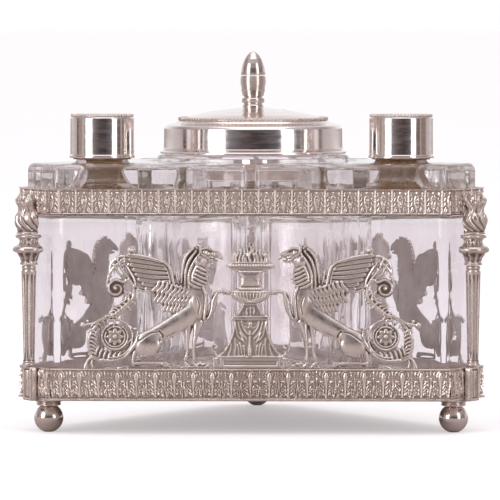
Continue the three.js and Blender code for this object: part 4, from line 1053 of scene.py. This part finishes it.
# ------------------------------------------------------------------ torches
def torch_shaft():
    prof = fillet([(0, 24.5), (2.5, 24.5), (2.5, 25.1), (2.1, 25.4), (2.3, 25.8), (2.0, 26.4)], [0, 0.15, 0.15, 0.1, 0.15, 0.2], 3)
    body = [(2.0 + (2.72 - 2.0) * s, 26.5 + (58.6 - 26.5) * s) for s in np.linspace(0, 1, 26)]
    top = fillet([(2.72, 58.7), (2.3, 59.4), (2.6, 59.7), (2.6, 60.4), (2.3, 60.7), (0, 60.7)], [0.2, 0.2, 0.2, 0.2, 0.1, 0], 3)
    pts = prof + body + top

    def flutes(th, r, z):
        s = np.clip((z - 27.0) / 1.2, 0, 1) * np.clip((58.2 - z) / 1.2, 0, 1)
        return r * (1 - 0.13 * s * (0.5 - 0.5 * np.cos(10 * th)) ** 0.8)
    return lathe(pts, 100, lobes=flutes)


def torch_cup():
    pts = fillet([(0, 61.0), (3.1, 61.0), (3.45, 61.25), (3.1, 61.8), (3.0, 62.3), (3.5, 63.6), (4.5, 65.2), (5.5, 65.75), (5.8, 66.3), (5.8, 67.0),
                  (5.3, 67.6), (4.5, 67.85), (3.7, 68.5), (3.3, 69.3), (3.35, 69.9), (3.8, 70.5), (4.6, 70.8), (4.9, 71.3), (4.6, 71.9), (0, 71.9)],
                 [0, 0.1, 0.2, 0.2, 0.3, 0.6, 0.3, 0.2, 0.3, 0.3, 0.2, 0.3, 0.5, 0.4, 0.4, 0.3, 0.2, 0.25, 0.15, 0], 5)

    def leaves(th, r, z):
        s = np.clip((z - 61.9) / 0.6, 0, 1) * np.clip((65.6 - z) / 0.8, 0, 1)
        t = np.clip((z - 68.1) / 0.6, 0, 1) * np.clip((70.4 - z) / 0.5, 0, 1)
        return r * (1 - 0.16 * s * (0.5 - 0.5 * np.cos(9 * th)) ** 1.6 - 0.07 * s * np.abs(np.sin(9 * th + 0.4)) - 0.09 * t * (0.5 - 0.5 * np.cos(14 * th)))
    v, q, t = lathe(pts, 144, lobes=leaves)
    v[:, 0] = np.maximum(v[:, 0], -3.4)
    return v, q, t


def torch_flame():
    pts = [(0, 72.2), (3.6, 72.2), (4.35, 72.25), (4.55, 72.5), (4.35, 72.8), (4.0, 73.0), (4.25, 73.6)]
    for s in np.linspace(0.04, 1, 26):
        z = 73.6 + s * 8.2
        r = 4.25 + 1.0 * math.sin(min(s * 1.35, 1) * math.pi) ** 0.8 if s < 0.74 else 4.25
        r = 4.2 + 1.08 * math.sin(math.pi * min(s / 0.85, 1.0)) ** 0.9 - 2.1 * max(0.0, (s - 0.62) / 0.38) ** 1.5
        pts.append((r, z))
    pts += [(2.25, 82.6), (2.35, 83.6), (2.2, 84.6), (1.5, 85.6), (0, 86.0)]

    def ridges(th, r, z):
        s = np.clip((z - 73.2) / 1.0, 0, 1) * np.clip((83.5 - z) / 1.5, 0, 1)
        tw = 0.16 * (z - 73.6) + 0.25 * math.sin((z - 73.6) * 0.55)
        lobe = np.abs(np.cos(5 * (th + tw)))
        fine = 0.5 + 0.5 * np.cos(20 * (th + tw * 1.06) + 0.6)
        return r * (1 - s * (0.15 * (1 - lobe) ** 1.3 + 0.035 * fine))
    v, q, t = lathe(pts, 150, lobes=ridges)
    parts = [(v, q, t)]
    # curling tongues above the waist
    for i, (a, lean, top, r0) in enumerate(((-88, -14, 86.6, 1.0), (-58, 18, 85.4, 1.15), (-30, -16, 87.0, 1.1), (-4, 16, 85.8, 1.2), (24, -14, 87.1, 1.15),
                                            (52, 18, 85.6, 1.15), (82, -12, 86.7, 1.0))):
        def at(r, ang, z):
            w = math.radians(a + ang)
            return (r * math.cos(w), r * math.sin(w), z)
        parts.append(sweep([at(3.6, -lean * 1.1, 78.4), at(2.9, -lean * 0.4, 80.6), at(3.0, 0, 82.3), at(4.0, lean * 0.7, 83.8), at(4.2, lean * 1.3, 84.9), at(3.3, lean * 1.2, top)],
                           [r0 * 0.9, r0 * 0.95, r0, r0 * 0.85, r0 * 0.6, 0.16], segs=10, n=6, flat=0.62))
    v, q, t = joined(parts)
    v[:, 0] = np.maximum(v[:, 0], -1.75)
    return v, q, t


def plinth_mesh():
    lo, hi = 11.6, 24.2
    R = Relief((-3.5, 3.5), (11.3, 24.5), 0.14)
    out = fillet([(-3.2, lo), (3.2, lo), (3.2, hi), (-3.2, hi)], [0.5, 0.5, 1.6, 1.6], 6, closed=True)
    inner = fillet([(-2.35, lo + 0.9), (2.35, lo + 0.9), (2.35, hi - 0.9), (-2.35, hi - 0.9)], [0.4, 0.4, 1.1, 1.1], 6, closed=True)
    R.plate(out, 1.6, 2.5, 0.45)
    R.plate(inner, cut=0.55, edge=0.35)
    for u in (-1.2, 0, 1.2):
        R.stroke([(u, lo + 1.6, 0.3), (u, (lo + hi) / 2, 0.34), (u, hi - 1.7, 0.28)], 1.95, 2.28, n=2)
    v, q, cav = R.solid(back=CORNER + 0.6, edge=1.6)
    v[:, 2] = np.clip(v[:, 2], lo, hi)
    return mesh_of("torch_plinth", v, q, attrs={"cavity": cav}, sharp=60)


def with_hollows(name, v, q, t, scale=0.22, sharp=None):
    """A mesh whose cavity attribute marks what lies below its neighbourhood."""
    me = outward(mesh_of(name, v, q, t, sharp=sharp))
    n = len(me.vertices)
    co = np.empty(n * 3, np.float32)
    me.vertices.foreach_get("co", co)
    co = co.reshape(-1, 3) / MM
    e = np.empty(len(me.edges) * 2, np.int32)
    me.edges.foreach_get("vertices", e)
    e = e.reshape(-1, 2)
    deg = np.bincount(e.ravel(), minlength=n)[:, None]
    P = co.copy()
    for _ in range(10):
        s = np.zeros_like(P)
        np.add.at(s, e[:, 0], P[e[:, 1]])
        np.add.at(s, e[:, 1], P[e[:, 0]])
        P = 0.5 * P + 0.5 * s / np.maximum(deg, 1)
    nor = np.empty(n * 3, np.float32)
    me.vertices.foreach_get("normal", nor)
    depth = ((P - co) * nor.reshape(-1, 3)).sum(1)
    cav = np.clip(0.5 + depth / scale, 0, 1)
    a = me.attributes.new("cavity", "FLOAT", "POINT")
    a.data.foreach_set("value", cav.astype(np.float32))
    return me


shaft_me = with_hollows("torch_shaft", *torch_shaft(), scale=0.3)
cup_me = with_hollows("torch_cup", *torch_cup(), scale=0.3)
flame_me = with_hollows("torch_flame", *torch_flame(), scale=0.3)
plinth_me = plinth_mesh()
for k, corner in enumerate(CORNERS):
    M = at_corner(k, TORCH)
    piece(f"torch_column_{corner}", shaft_me, "stand", SILVER_TORCH, M, f"torch_shaft_{corner}")
    piece(f"torch_bowl_{corner}", cup_me, "stand", SILVER_TORCH, M, f"torch_cup_{corner}")
    piece(f"torch_fire_{corner}", flame_me, "stand", SILVER_TORCH, M, f"torch_flame_{corner}")
    piece(f"torch_base_{corner}", plinth_me, "stand", SILVER_TORCH, turn(k) @ TO_CORNER, f"torch_plinth_{corner}")

# ------------------------------------------------------------------ feet
BALL_Z, BALL_R = 5.1, 5.3
ball_prof = [(0, 0)] + [(BALL_R * math.cos(t), max(BALL_Z + BALL_R * math.sin(t), 0)) for t in np.linspace(math.asin(-BALL_Z / BALL_R), math.asin(4.2 / BALL_R), 34)] + [(0, 9.3)]
foot_me = outward(mesh_of("foot_ball", *lathe(ball_prof, 72), sharp=60))
collar_prof = fillet([(0, 9.6), (4.05, 9.6), (4.5, 9.85), (4.5, 10.25), (4.1, 10.5), (4.35, 10.8), (5.1, 11.25), (5.4, 11.5), (5.4, 11.8), (0, 11.8)],
                     [0, 0.15, 0.2, 0.2, 0.25, 0.3, 0.2, 0.2, 0.12, 0], 5)
collar_me = with_hollows("foot_collar", *lathe(collar_prof, 72), scale=0.3, sharp=60)
for k, corner in enumerate(CORNERS):
    M = at_corner(k, 85.0)
    piece(f"ball_foot_{corner}", foot_me, "stand", POLISHED_FEET, M, f"foot_ball_{corner}")
    piece(f"collar_foot_{corner}", collar_me, "stand", SILVER_TORCH, M, f"foot_collar_{corner}")


# ------------------------------------------------------------------ bottles
SIDE_G, CORNER_G = SIDE - 2.65, CORNER - 2.65
ARC_R, GAP_HALF = 37.4, 1.45
NECK = (63.0 * math.cos(math.radians(-30)), 63.0 * math.sin(math.radians(-30)))


def bottle_plan(inset, r_gap, r_corner, arc_steps=40, n=6):
    """Outline of one bottle at the front right corner, drawn in by inset, with rounded corners."""
    side, corner = SIDE_G - inset, CORNER_G - inset
    half, arc = GAP_HALF + inset, ARC_R + inset
    ca = math.radians(-30)
    right = crossing(math.radians(-90), side, ca, corner)

    def mirror(p):
        t = 2 * ca
        return (p[0] * math.cos(t) + p[1] * math.sin(t), p[0] * math.sin(t) - p[1] * math.cos(t))
    gap = (half, -side)
    back = math.asin(half / arc)
    arc_pts = [(arc * math.cos(t), arc * math.sin(t)) for t in np.linspace(math.radians(30) - back, math.radians(-90) + back, arc_steps)]
    pts = [gap, right, mirror(right), mirror(gap)] + arc_pts
    rad = [r_gap, r_corner, r_corner, r_gap] + [r_gap * 0.5] + [0] * (arc_steps - 2) + [r_gap * 0.5]
    out = []
    m = len(pts)
    P = [np.array(p) for p in pts]
    for i, p in enumerate(P):
        if rad[i] <= 0:
            out.append(tuple(p))
            continue
        a, b = P[(i - 1) % m] - p, P[(i + 1) % m] - p
        la, lb = np.linalg.norm(a), np.linalg.norm(b)
        # at the wall's edge the neighbour on the arc is near: the rounding may take up to 0.9 of that short span
        a, b = a / la, b / lb
        half_ang = math.acos(float(np.clip(a @ b, -1, 1))) / 2
        d = min(rad[i] / math.tan(half_ang), la * 0.9 if la < 5 else la * 0.45, lb * 0.9 if lb < 5 else lb * 0.45)
        for s in np.linspace(0, 1, n + 1):
            out.append(tuple((1 - s) ** 2 * (p + a * d) + 2 * s * (1 - s) * p + s ** 2 * (p + b * d)))
    return out


def flat_cap(outlines, z, up):
    """Triangles of a level face between an outer outline and holes; returns verts, tris (welded later)."""
    pts, edges, base = [], [], 0
    for o in outlines:
        m = len(o)
        pts += [Vector((p[0], p[1])) for p in o]
        edges += [(base + i, base + (i + 1) % m) for i in range(m)]
        base += m
    vs, _, fs, *_ = geometry.delaunay_2d_cdt(pts, edges, [], 0, 1e-6)
    tri = []
    outer = np.array(outlines[0])
    holes = [np.array(h) for h in outlines[1:]]

    def inside(p, poly):
        x, y = p
        a, b = poly, np.roll(poly, -1, 0)
        c = (a[:, 1] > y) != (b[:, 1] > y)
        xi = a[:, 0] + (y - a[:, 1]) * (b[:, 0] - a[:, 0]) / np.where(np.abs(b[:, 1] - a[:, 1]) < 1e-12, 1e-12, b[:, 1] - a[:, 1])
        return bool((c & (x < xi)).sum() % 2)
    for f in fs:
        c = sum((np.array(vs[i][:2]) for i in f), np.zeros(2)) / len(f)
        if inside(c, outer) and not any(inside(c, h) for h in holes):
            tri.append(tuple(f) if up else tuple(reversed(f)))
    v = np.array([(p[0], p[1], z) for p in vs])
    return v, np.zeros((0, 4), int), np.array(tri, int)


def circle(c, r, n):
    return [(c[0] + r * math.cos(t), c[1] + r * math.sin(t)) for t in np.arange(n) * TAU / n]


def annulus(ring_a, ring_b, z):
    """Joins two rings of different point counts that lie on one circle."""
    a, b = np.array(ring_a), np.array(ring_b)
    c = a.mean(0)
    ia = np.argsort(np.arctan2(a[:, 1] - c[1], a[:, 0] - c[0]))
    ib = np.argsort(np.arctan2(b[:, 1] - c[1], b[:, 0] - c[0]))
    a, b = a[ia], b[ib]
    ta = np.arctan2(a[:, 1] - c[1], a[:, 0] - c[0])
    tb = np.arctan2(b[:, 1] - c[1], b[:, 0] - c[0])
    v = np.concatenate([np.column_stack([a, np.full(len(a), z + 0.4)]), np.column_stack([b, np.full(len(b), z)])])
    tris, i, j, na, nb_ = [], 0, 0, len(a), len(b)
    while i < na or j < nb_:
        na_t = ta[(i + 1) % na] + (TAU if i + 1 >= na else 0)
        nb_t = tb[(j + 1) % nb_] + (TAU if j + 1 >= nb_ else 0)
        if j >= nb_ or (i < na and na_t <= nb_t):
            tris.append((i % na, (i + 1) % na, na + j % nb_))
            i += 1
        else:
            tris.append((na + j % nb_, i % na, na + (j + 1) % nb_))
            j += 1
    return v, np.zeros((0, 4), int), np.array(tris, int)


def bottle_mesh(name, stain):
    NS = 64
    zb, zt = 13.25, 97.6
    zi0, zi1 = 18.25, 91.0
    parts = []
    # outside: foot edge, wall, shoulder edge
    rings = []
    for a in np.linspace(0, 90, 6):
        rings.append((1.1 * (1 - math.sin(math.radians(a))), zb + 1.1 * (1 - math.cos(math.radians(a)))))
    walls = [(0.0, z) for z in np.linspace(zb + 3, zt - 4.2, 8)]
    top = [(2.6 * (1 - math.cos(math.radians(a))), zt - 2.6 + 2.6 * math.sin(math.radians(a))) for a in np.linspace(0, 90, 9)]
    outer = [(bottle_plan(i, max(3.0 - i, 0.7), max(3.2 - i, 0.8)), z) for i, z in rings + walls + top]
    v, q, t = loft(outer, False, False)
    parts.append((v, q, t))
    parts.append(flat_cap([outer[0][0]], zb, False))
    # neck, joined to the top face through a small cove
    neck = [(10.6, 97.6), (10.1, 97.75), (9.6, 98.2), (9.3, 98.9), (9.2, 99.6), (9.2, 108.9), (9.0, 109.5), (8.6, 109.8), (7.7, 109.8), (7.35, 109.6), (7.2, 109.2),
            (7.2, 103.0), (7.2, 99.0)]
    parts.append(flat_cap([outer[-1][0], circle(NECK, 10.6, NS)], zt, True))
    v, q, t = lathe(neck, NS)
    v[:, 0] += NECK[0]
    v[:, 1] += NECK[1]
    parts.append((v, q, t))
    # inside: the bore opens out into a domed shoulder, then wall and floor
    w = 2.3
    base = bottle_plan(w, 4.2, 5.2)
    nb = np.array(base)
    ang = np.arctan2(nb[:, 1] - NECK[1], nb[:, 0] - NECK[0])
    rad_b = np.hypot(nb[:, 0] - NECK[0], nb[:, 1] - NECK[1])
    inner = []
    for r, z in ((7.2, 98.6), (7.22, 97.6), (7.4, 96.6), (7.85, 95.2), (8.5, 93.6), (9.35, 92.0), (10.4, 90.6), (11.8, 89.4), (13.6, 88.3)):
        inner.append((np.stack([NECK[0] + r * np.cos(ang), NECK[1] + r * np.sin(ang)], 1), z))
    z_hi, z_lo, r_hi = 88.3, 76.0, 13.6
    for a in np.linspace(0, 1, 15)[1:]:
        # quarter of a superellipse from the flare out to the wall
        th = a * math.pi / 2
        f = math.sin(th) ** 1.15
        z = z_lo + (z_hi - z_lo) * math.cos(th) ** 0.85
        rr = r_hi + (rad_b - r_hi) * f
        inner.append((np.stack([NECK[0] + rr * np.cos(ang), NECK[1] + rr * np.sin(ang)], 1), z))
    inner += [(nb, z) for z in np.linspace(z_lo - 4, zi0 + 5, 7)]
    for a in np.linspace(0, 90, 7)[1:]:
        i = w + 2.8 * (1 - math.cos(math.radians(a)))
        inner.append((np.array(bottle_plan(i, max(6.5 - i, 1.2), max(7.5 - i, 1.4))), zi0 + 2.8 - 2.8 * math.sin(math.radians(a))))
    v, q, t = loft(inner, False, False)
    parts.append((v, q, t))
    parts.append(flat_cap([inner[-1][0]], zi0, True))
    # lip between the turned bore and the outline's own points
    ring_a, ring_b = circle(NECK, 7.2, NS), inner[0][0]
    parts.append(annulus(ring_a, ring_b, 98.6))
    v, q, t = joined(parts)
    # weld the shared borders
    key = np.round(v * 2000).astype(np.int64)
    _, first, inv = np.unique(key, axis=0, return_index=True, return_inverse=True)
    inv = inv.ravel()
    v = v[first]
    q = inv[q] if len(q) else q
    t = inv[t] if len(t) else t
    t = t[(t[:, 0] != t[:, 1]) & (t[:, 1] != t[:, 2]) & (t[:, 2] != t[:, 0])]
    r = np.hypot(v[:, 0] - NECK[0], v[:, 1] - NECK[1])
    # dried ink: in the bore and on the flare below it
    z = v[:, 2]
    s = np.where((r < 19) & (z < 92.5) | (r < 10) & (z < 96.7) | (r < 7.5), np.clip((104 - z) / 3, 0, 1) * np.clip((z - 84.5) / 3, 0, 1) * np.clip((19 - r) / 4, 0, 1), 0.0)
    veil = np.where((z > 86.5) & (z < 97.2), 0.11, 0.0)
    s = np.maximum(s, veil)
    me = mesh_of(name, v, q, t, sharp=35)
    if len(me.vertices) == len(s):
        a = me.attributes.new("stain", "FLOAT", "POINT")
        a.data.foreach_set("value", (s * stain).astype(np.float32))
    return outward(me)


for k, (corner, stain) in enumerate(zip(CORNERS, (1.0, 0.5, 0.5))):
    piece(f"glass_bottle_{corner}", bottle_mesh(f"bottle_{corner}", stain), f"bottle_{corner}", GLASS, turn(k), f"bottle_{corner}")

# ------------------------------------------------------------------ caps and corks
cap_prof = fillet([(11.2, 99.4), (11.95, 99.4), (11.95, 100.0), (11.82, 100.45), (11.62, 100.7), (11.55, 113.9), (11.3, 114.35), (10.4, 114.4), (10.25, 114.7),
                   (9.4, 114.95), (0, 115.1)], [0.05, 0.15, 0.2, 0.15, 0.25, 0.35, 0.2, 0.08, 0.1, 0.5, 0], 5)
cap_in = [(0, 113.7), (10.7, 113.6), (11.0, 113.3), (11.2, 99.4)]
cap_v = lathe(cap_prof + cap_in, 96)
cap_me = outward(mesh_of("cap", *cap_v, sharp=45))
cap_bead_me = with_hollows("cap_beads", *beads(10.98, 0.56, 114.84, 56), scale=0.5)
cork_prof = fillet([(9.5, 98.9), (10.55, 98.9), (10.55, 109.5), (9.5, 109.5)], 0.12, 3, closed=True)
cork_me = outward(mesh_of("cork", *lathe(cork_prof, 64, closed=True), sharp=50))
for k, corner in enumerate(CORNERS):
    M = at_corner(k, 63.0)
    body = f"cap_{corner}"
    piece(f"silver_cap_{corner}", cap_me, body, POLISHED, M, f"cap_{corner}")
    piece(f"bead_row_{corner}", cap_bead_me, body, SILVER_TORCH, M, f"cap_bead_ring_{corner}")
    piece(f"cork_sleeve_{corner}", cork_me, body, CORK, M, f"cap_cork_{corner}")

# ------------------------------------------------------------------ central jar
jar_prof = fillet([(0, 13.25), (32.5, 13.25), (33.5, 14.25), (33.5, 94.4), (34.9, 96.2), (35.5, 97.0), (35.5, 98.9), (34.9, 99.75), (31.0, 99.75), (31.0, 106.7),
                   (30.5, 107.2), (28.4, 107.2), (28.0, 106.6), (28.0, 96.0), (30.0, 91.0), (30.0, 20.4), (27.4, 18.2), (0, 18.2)],
                  [0, 0.8, 0.8, 1.6, 0.8, 0.7, 0.7, 0.5, 0.4, 0.4, 0.3, 0.3, 0.4, 2.0, 2.0, 1.6, 1.6, 0], 7)
piece("glass_jar", outward(mesh_of("jar", *lathe(jar_prof, 144), sharp=50)), "jar", GLASS_JAR, turn(0), "central_jar")

# ------------------------------------------------------------------ lid, its beads and the finial
lid_prof = fillet([(33.3, 100.1), (34.25, 100.1), (34.45, 100.5), (34.45, 100.95), (34.0, 101.3), (33.2, 101.4), (32.75, 101.55), (32.75, 101.8), (33.35, 101.9), (33.35, 102.2), (33.1, 102.35), (33.04, 109.6), (32.4, 110.7),
                   (30.3, 111.1), (28.7, 111.65), (27.95, 112.4), (26.3, 112.5), (26.0, 113.2), (22.0, 114.5), (15.0, 115.9), (8.0, 116.75), (4.4, 117.2), (1.6, 117.2)],
                  [0, 0.2, 0.3, 0.3, 0.3, 0.1, 0.1, 0.1, 0.12, 0.12, 0.1, 0.3, 1.6, 1.2, 1.6, 1.0, 0.2, 0.2, 0.3, 4.0, 5.0, 4.0, 0.5, 0], 6)
lid_in = fillet([(1.6, 116.3), (4.2, 116.3), (15.0, 115.2), (25.0, 112.6), (25.4, 111.5), (28.6, 110.3), (32.0, 109.0), (32.1, 101.3), (33.3, 100.9)],
                [0, 0.3, 3.0, 0.5, 0.5, 0.6, 0.6, 0.3, 0.1], 3)
piece("silver_lid", outward(mesh_of("lid", *lathe(lid_prof + lid_in, 192, closed=True), sharp=45)), "lid", POLISHED, turn(0), "lid_shell")
piece("lid_bead_row", with_hollows("lid_beads", *beads(27.25, 0.68, 113.12, 118), scale=0.5), "lid", SILVER_TORCH, turn(0), "lid_bead_ring")
stem_pts = [(0, 113.0), (1.25, 113.0), (1.25, 117.3), (3.9, 117.3), (3.85, 117.9), (3.5, 118.5), (3.5, 118.9), (4.1, 119.1), (4.15, 120.4), (3.9, 120.8), (3.3, 120.95),
            (3.3, 121.25), (3.75, 121.45), (3.95, 122.1), (4.25, 123.2), (4.5, 124.0)]
stem_rad = [0, 0.1, 0.1, 0.12, 0.25, 0.25, 0.08, 0.08, 0.3, 0.25, 0.1, 0.1, 0.15, 0.6, 0.6, 0.1]
for i in range(10):  # fine turned rings round the barrel
    z = 124.1 + 0.47 * i
    r = 4.72 - 0.0125 * (i - 6) ** 2
    stem_pts += [(r - 0.08, z), (r, z + 0.08), (r, z + 0.35), (r - 0.08, z + 0.43)]
    stem_rad += [0.02, 0.05, 0.05, 0.02]
stem_pts += [(4.5, 129.0), (0, 129.0)]
stem_rad += [0.1, 0]
stem = fillet(stem_pts, stem_rad, 4)
piece("finial_barrel", outward(mesh_of("stem", *lathe(stem, 96), sharp=50)), "lid", SATIN, turn(0), "finial_stem")
bud = fillet([(0, 129.3), (4.3, 129.3), (4.5, 129.5), (4.5, 130.3), (4.3, 131.9), (3.85, 133.5), (3.15, 135.2), (2.1, 136.8), (1.0, 137.75), (0, 138.0)],
             [0, 0.1, 0.15, 0.8, 1.5, 1.8, 1.8, 1.4, 0.8, 0], 6)
piece("finial_tip", outward(mesh_of("bud", *lathe(bud, 96), sharp=60)), "lid", SATIN, turn(0), "finial_bud")


def hex_nut():
    ring = lambda r, z: ([(r * math.cos(t), r * math.sin(t)) for t in np.arange(6) * TAU / 6], z)
    o = [fillet(ring(r, z)[0], 0.25, 2, closed=True) for r, z in ((2.7, 114.0), (2.9, 114.15), (2.9, 115.75), (2.7, 115.9))]
    m = len(o[0])
    zs = (114.0, 114.15, 115.75, 115.9)
    inner = [circle((0, 0), r, m) for r in (1.75, 1.6, 1.6, 1.75)]
    rings = [(p, z) for p, z in zip(o, zs)] + [(p, z) for p, z in zip(reversed(inner), reversed(zs))]
    v = np.concatenate([np.column_stack([np.array(p), np.full(m, z)]) for p, z in rings])
    q = []
    nr = len(rings)
    for i in range(nr):
        a, b = np.arange(m) + i * m, np.arange(m) + ((i + 1) % nr) * m
        q.append(np.stack([a, np.roll(a, -1), np.roll(b, -1), b], 1))
    return v, np.concatenate(q), np.zeros((0, 3), int)


piece("lid_nut", outward(mesh_of("nut", *hex_nut(), sharp=30)), "lid", SILVER_PLAIN, turn(0), "finial_nut")

# ------------------------------------------------------------------ floor, light and camera
scene = bpy.context.scene
scene.view_settings.view_transform = "Standard"
scene.view_settings.look = "None"
scene.cycles.max_bounces = 48
scene.cycles.transmission_bounces = 36
scene.cycles.glossy_bounces = 36
scene.cycles.transparent_max_bounces = 32
scene.cycles.sample_clamp_indirect = 6.0
scene.cycles.blur_glossy = 0.3


def stage_floor():
    m, nt, bsdf, out = new_material("pale_floor")
    v = coords(nt)
    col = ramp(nt, noise(nt, v, 3, 3), [(0.3, (0.93, 0.925, 0.935)), (0.7, (0.955, 0.95, 0.955))])
    nt.links.new(col, bsdf.inputs["Base Color"])
    nt.links.new(remap(nt, noise(nt, v, 40, 2), 0.3, 0.7, 0.5, 0.7), bsdf.inputs["Roughness"])
    bsdf.inputs["Specular IOR Level"].default_value = 0.1
    # painted shade: in the silver and the glass the table gets a darker colour than the camera sees, standing in for a
    # less brightly lit table, as a table's edge is in a light tent
    painted_shade_floor = nt.nodes.new("ShaderNodeBsdfDiffuse")
    lp = nt.nodes.new("ShaderNodeLightPath")
    nt.links.new(mix_color(nt, lp.outputs["Is Transmission Ray"], (0.36, 0.315, 0.305), (0.69, 0.66, 0.70)), painted_shade_floor.inputs[0])
    painted_glow = nt.nodes.new("ShaderNodeEmission")  # painted light: the floor itself glows, as if a light table were under the sheet, and so lifts the shadow
    painted_glow.inputs[0].default_value = (1.0, 0.955, 0.975, 1)
    lit = nt.nodes.new("ShaderNodeMixShader")
    lit.inputs[0].default_value = 0.40
    nt.links.new(bsdf.outputs[0], lit.inputs[1])
    nt.links.new(painted_glow.outputs[0], lit.inputs[2])
    mx = nt.nodes.new("ShaderNodeMixShader")
    nt.links.new(lp.outputs["Is Camera Ray"], mx.inputs[0])
    nt.links.new(painted_shade_floor.outputs[0], mx.inputs[1])
    nt.links.new(lit.outputs[0], mx.inputs[2])
    nt.links.new(mx.outputs[0], out.inputs[0])
    s = 90000.0
    me = mesh_of("floor", [(-s, -s, 0), (s, -s, 0), (s, s, 0), (-s, s, 0)], [(0, 1, 2, 3)], smooth=False)
    o = bpy.data.objects.new("floor", me)
    me.materials.append(m)
    scene.collection.objects.link(o)
    o.location.z = -0.00002


stage_floor()

world = bpy.data.worlds.new("studio")
scene.world = world
world.use_nodes = True
wt = world.node_tree
wt.nodes.clear()
w_out = wt.nodes.new("ShaderNodeOutputWorld")
tc = wt.nodes.new("ShaderNodeTexCoord")
sep = wt.nodes.new("ShaderNodeSeparateXYZ")
wt.links.new(tc.outputs["Generated"], sep.inputs[0])
X, Y, Z = sep.outputs
# azimuth from the front (0 towards the camera, 1 straight behind), signed by side
az = wt.nodes.new("ShaderNodeMath")
az.operation = "ARCTAN2"
wt.links.new(X, az.inputs[0])
wt.links.new(math_node(wt, "MULTIPLY", Y, -1.0), az.inputs[1])
azf = remap(wt, az.outputs[0], -math.pi, math.pi, 0.0, 1.0)


def az_pos(deg):
    return (deg + 180) / 360


ring_stops = [(-180, (0.92, 0.88, 0.90)), (-112, (0.60, 0.54, 0.55)), (-103, (0.50, 0.44, 0.44)), (-101, (0.07, 0.05, 0.045)), (-95, (0.10, 0.07, 0.06)), (-90, (0.36, 0.28, 0.24)),
              (-76, (0.32, 0.24, 0.20)), (-74, (0.62, 0.55, 0.52)), (-66, (0.40, 0.35, 0.34)), (-62, (0.10, 0.075, 0.07)), (-34, (0.20, 0.195, 0.21)), (-12, (0.075, 0.062, 0.064)),
              (0, (0.05, 0.036, 0.034)), (14, (0.035, 0.032, 0.037)), (35, (0.11, 0.105, 0.12)), (57, (0.17, 0.15, 0.155)), (70, (0.06, 0.046, 0.043)), (76, (0.60, 0.50, 0.43)),
              (80, (0.20, 0.14, 0.11)), (97, (0.25, 0.20, 0.185)), (100, (0.12, 0.09, 0.08)), (102, (0.52, 0.46, 0.46)), (115, (0.60, 0.55, 0.56)), (180, (0.92, 0.88, 0.90))]
band = ramp(wt, azf, [(az_pos(d), c) for d, c in ring_stops])
pale = ramp(wt, remap(wt, Z, -1.0, 1.0, 0.0, 1.0), [(0.0, (0.26, 0.21, 0.20)), (0.45, (0.26, 0.215, 0.21)), (0.60, (0.27, 0.235, 0.235)), (0.78, (0.36, 0.32, 0.325)), (0.90, (0.62, 0.57, 0.58)), (1.0, (0.72, 0.67, 0.68))])
back = ramp(wt, remap(wt, Y, 0.5, 0.93, 0.0, 1.0), [(0.0, (0.0, 0.0, 0.0)), (1.0, (1.0, 1.0, 1.0))])
high = math_node(wt, "ABSOLUTE", Z)
out_of_band = remap(wt, high, 0.20, 0.38, 0.0, 1.0)
col = mix_color(wt, out_of_band, band, pale)
col = mix_color(wt, back, col, (0.95, 0.93, 0.945))
# through the glass the tent is seen paler, past the dark flags that the silver mirrors
world_path = wt.nodes.new("ShaderNodeLightPath")
col = mix_color(wt, math_node(wt, "MULTIPLY", world_path.outputs["Is Transmission Ray"], 0.72), col, (0.80, 0.765, 0.785))
studio = wt.nodes.new("ShaderNodeBackground")
wt.links.new(col, studio.inputs[0])
studio.inputs[1].default_value = 1.0
white = wt.nodes.new("ShaderNodeBackground")
white.inputs[0].default_value = (1, 1, 1, 1)
white.inputs[1].default_value = 1.0
dome = wt.nodes.new("ShaderNodeBackground")  # what lights the floor
dome.inputs[0].default_value = (1.0, 0.97, 0.98, 1)
dome.inputs[1].default_value = 1.22
lp = wt.nodes.new("ShaderNodeLightPath")
mx = wt.nodes.new("ShaderNodeMixShader")
wt.links.new(lp.outputs["Is Diffuse Ray"], mx.inputs[0])
wt.links.new(studio.outputs[0], mx.inputs[1])
wt.links.new(dome.outputs[0], mx.inputs[2])
mx2 = wt.nodes.new("ShaderNodeMixShader")
wt.links.new(lp.outputs["Is Camera Ray"], mx2.inputs[0])
wt.links.new(mx.outputs[0], mx2.inputs[1])
wt.links.new(white.outputs[0], mx2.inputs[2])
wt.links.new(mx2.outputs[0], w_out.inputs[0])


def soft_box(name, azimuth, elevation, dist, width, height, power, color=(1, 1, 1)):
    """A soft box that looks at the inkwell; azimuth 0 is in front, positive to the right."""
    a, e = math.radians(azimuth), math.radians(elevation)
    d = Vector((math.sin(a) * math.cos(e), -math.cos(a) * math.cos(e), math.sin(e)))
    li = bpy.data.lights.new(name, "AREA")
    li.shape = "RECTANGLE"
    li.size, li.size_y = width, height
    li.energy = power
    li.color = color
    o = bpy.data.objects.new(name, li)
    target = Vector((0, 0, 0.06))
    o.location = target + d * dist
    o.rotation_euler = (-d).to_track_quat("-Z", "Y").to_euler()
    scene.collection.objects.link(o)
    return o


soft_box("soft_left", -46.5, 17.5, 1.7, 0.66, 1.15, 9.0)
soft_box("soft_right", 45.5, 17.5, 1.7, 0.46, 1.15, 4.6)
soft_box("soft_top", 10, 82, 1.6, 1.6, 1.6, 6.5)

cam_data = bpy.data.cameras.new("camera")
cam = bpy.data.objects.new("camera", cam_data)
scene.collection.objects.link(cam)
cam_data.sensor_width = 36.0
cam_data.lens = 360.0
cam_data.clip_end = 200.0
cam_data.dof.use_dof = False
FRONT_Y = AY - SIDE * MM
aim = Vector((-0.0001, FRONT_Y, 0.0668))
cam.location = Vector((0.034, FRONT_Y - 1.8, 0.1485))
cam.rotation_euler = (aim - cam.location).to_track_quat("-Z", "Y").to_euler()
scene.camera = cam
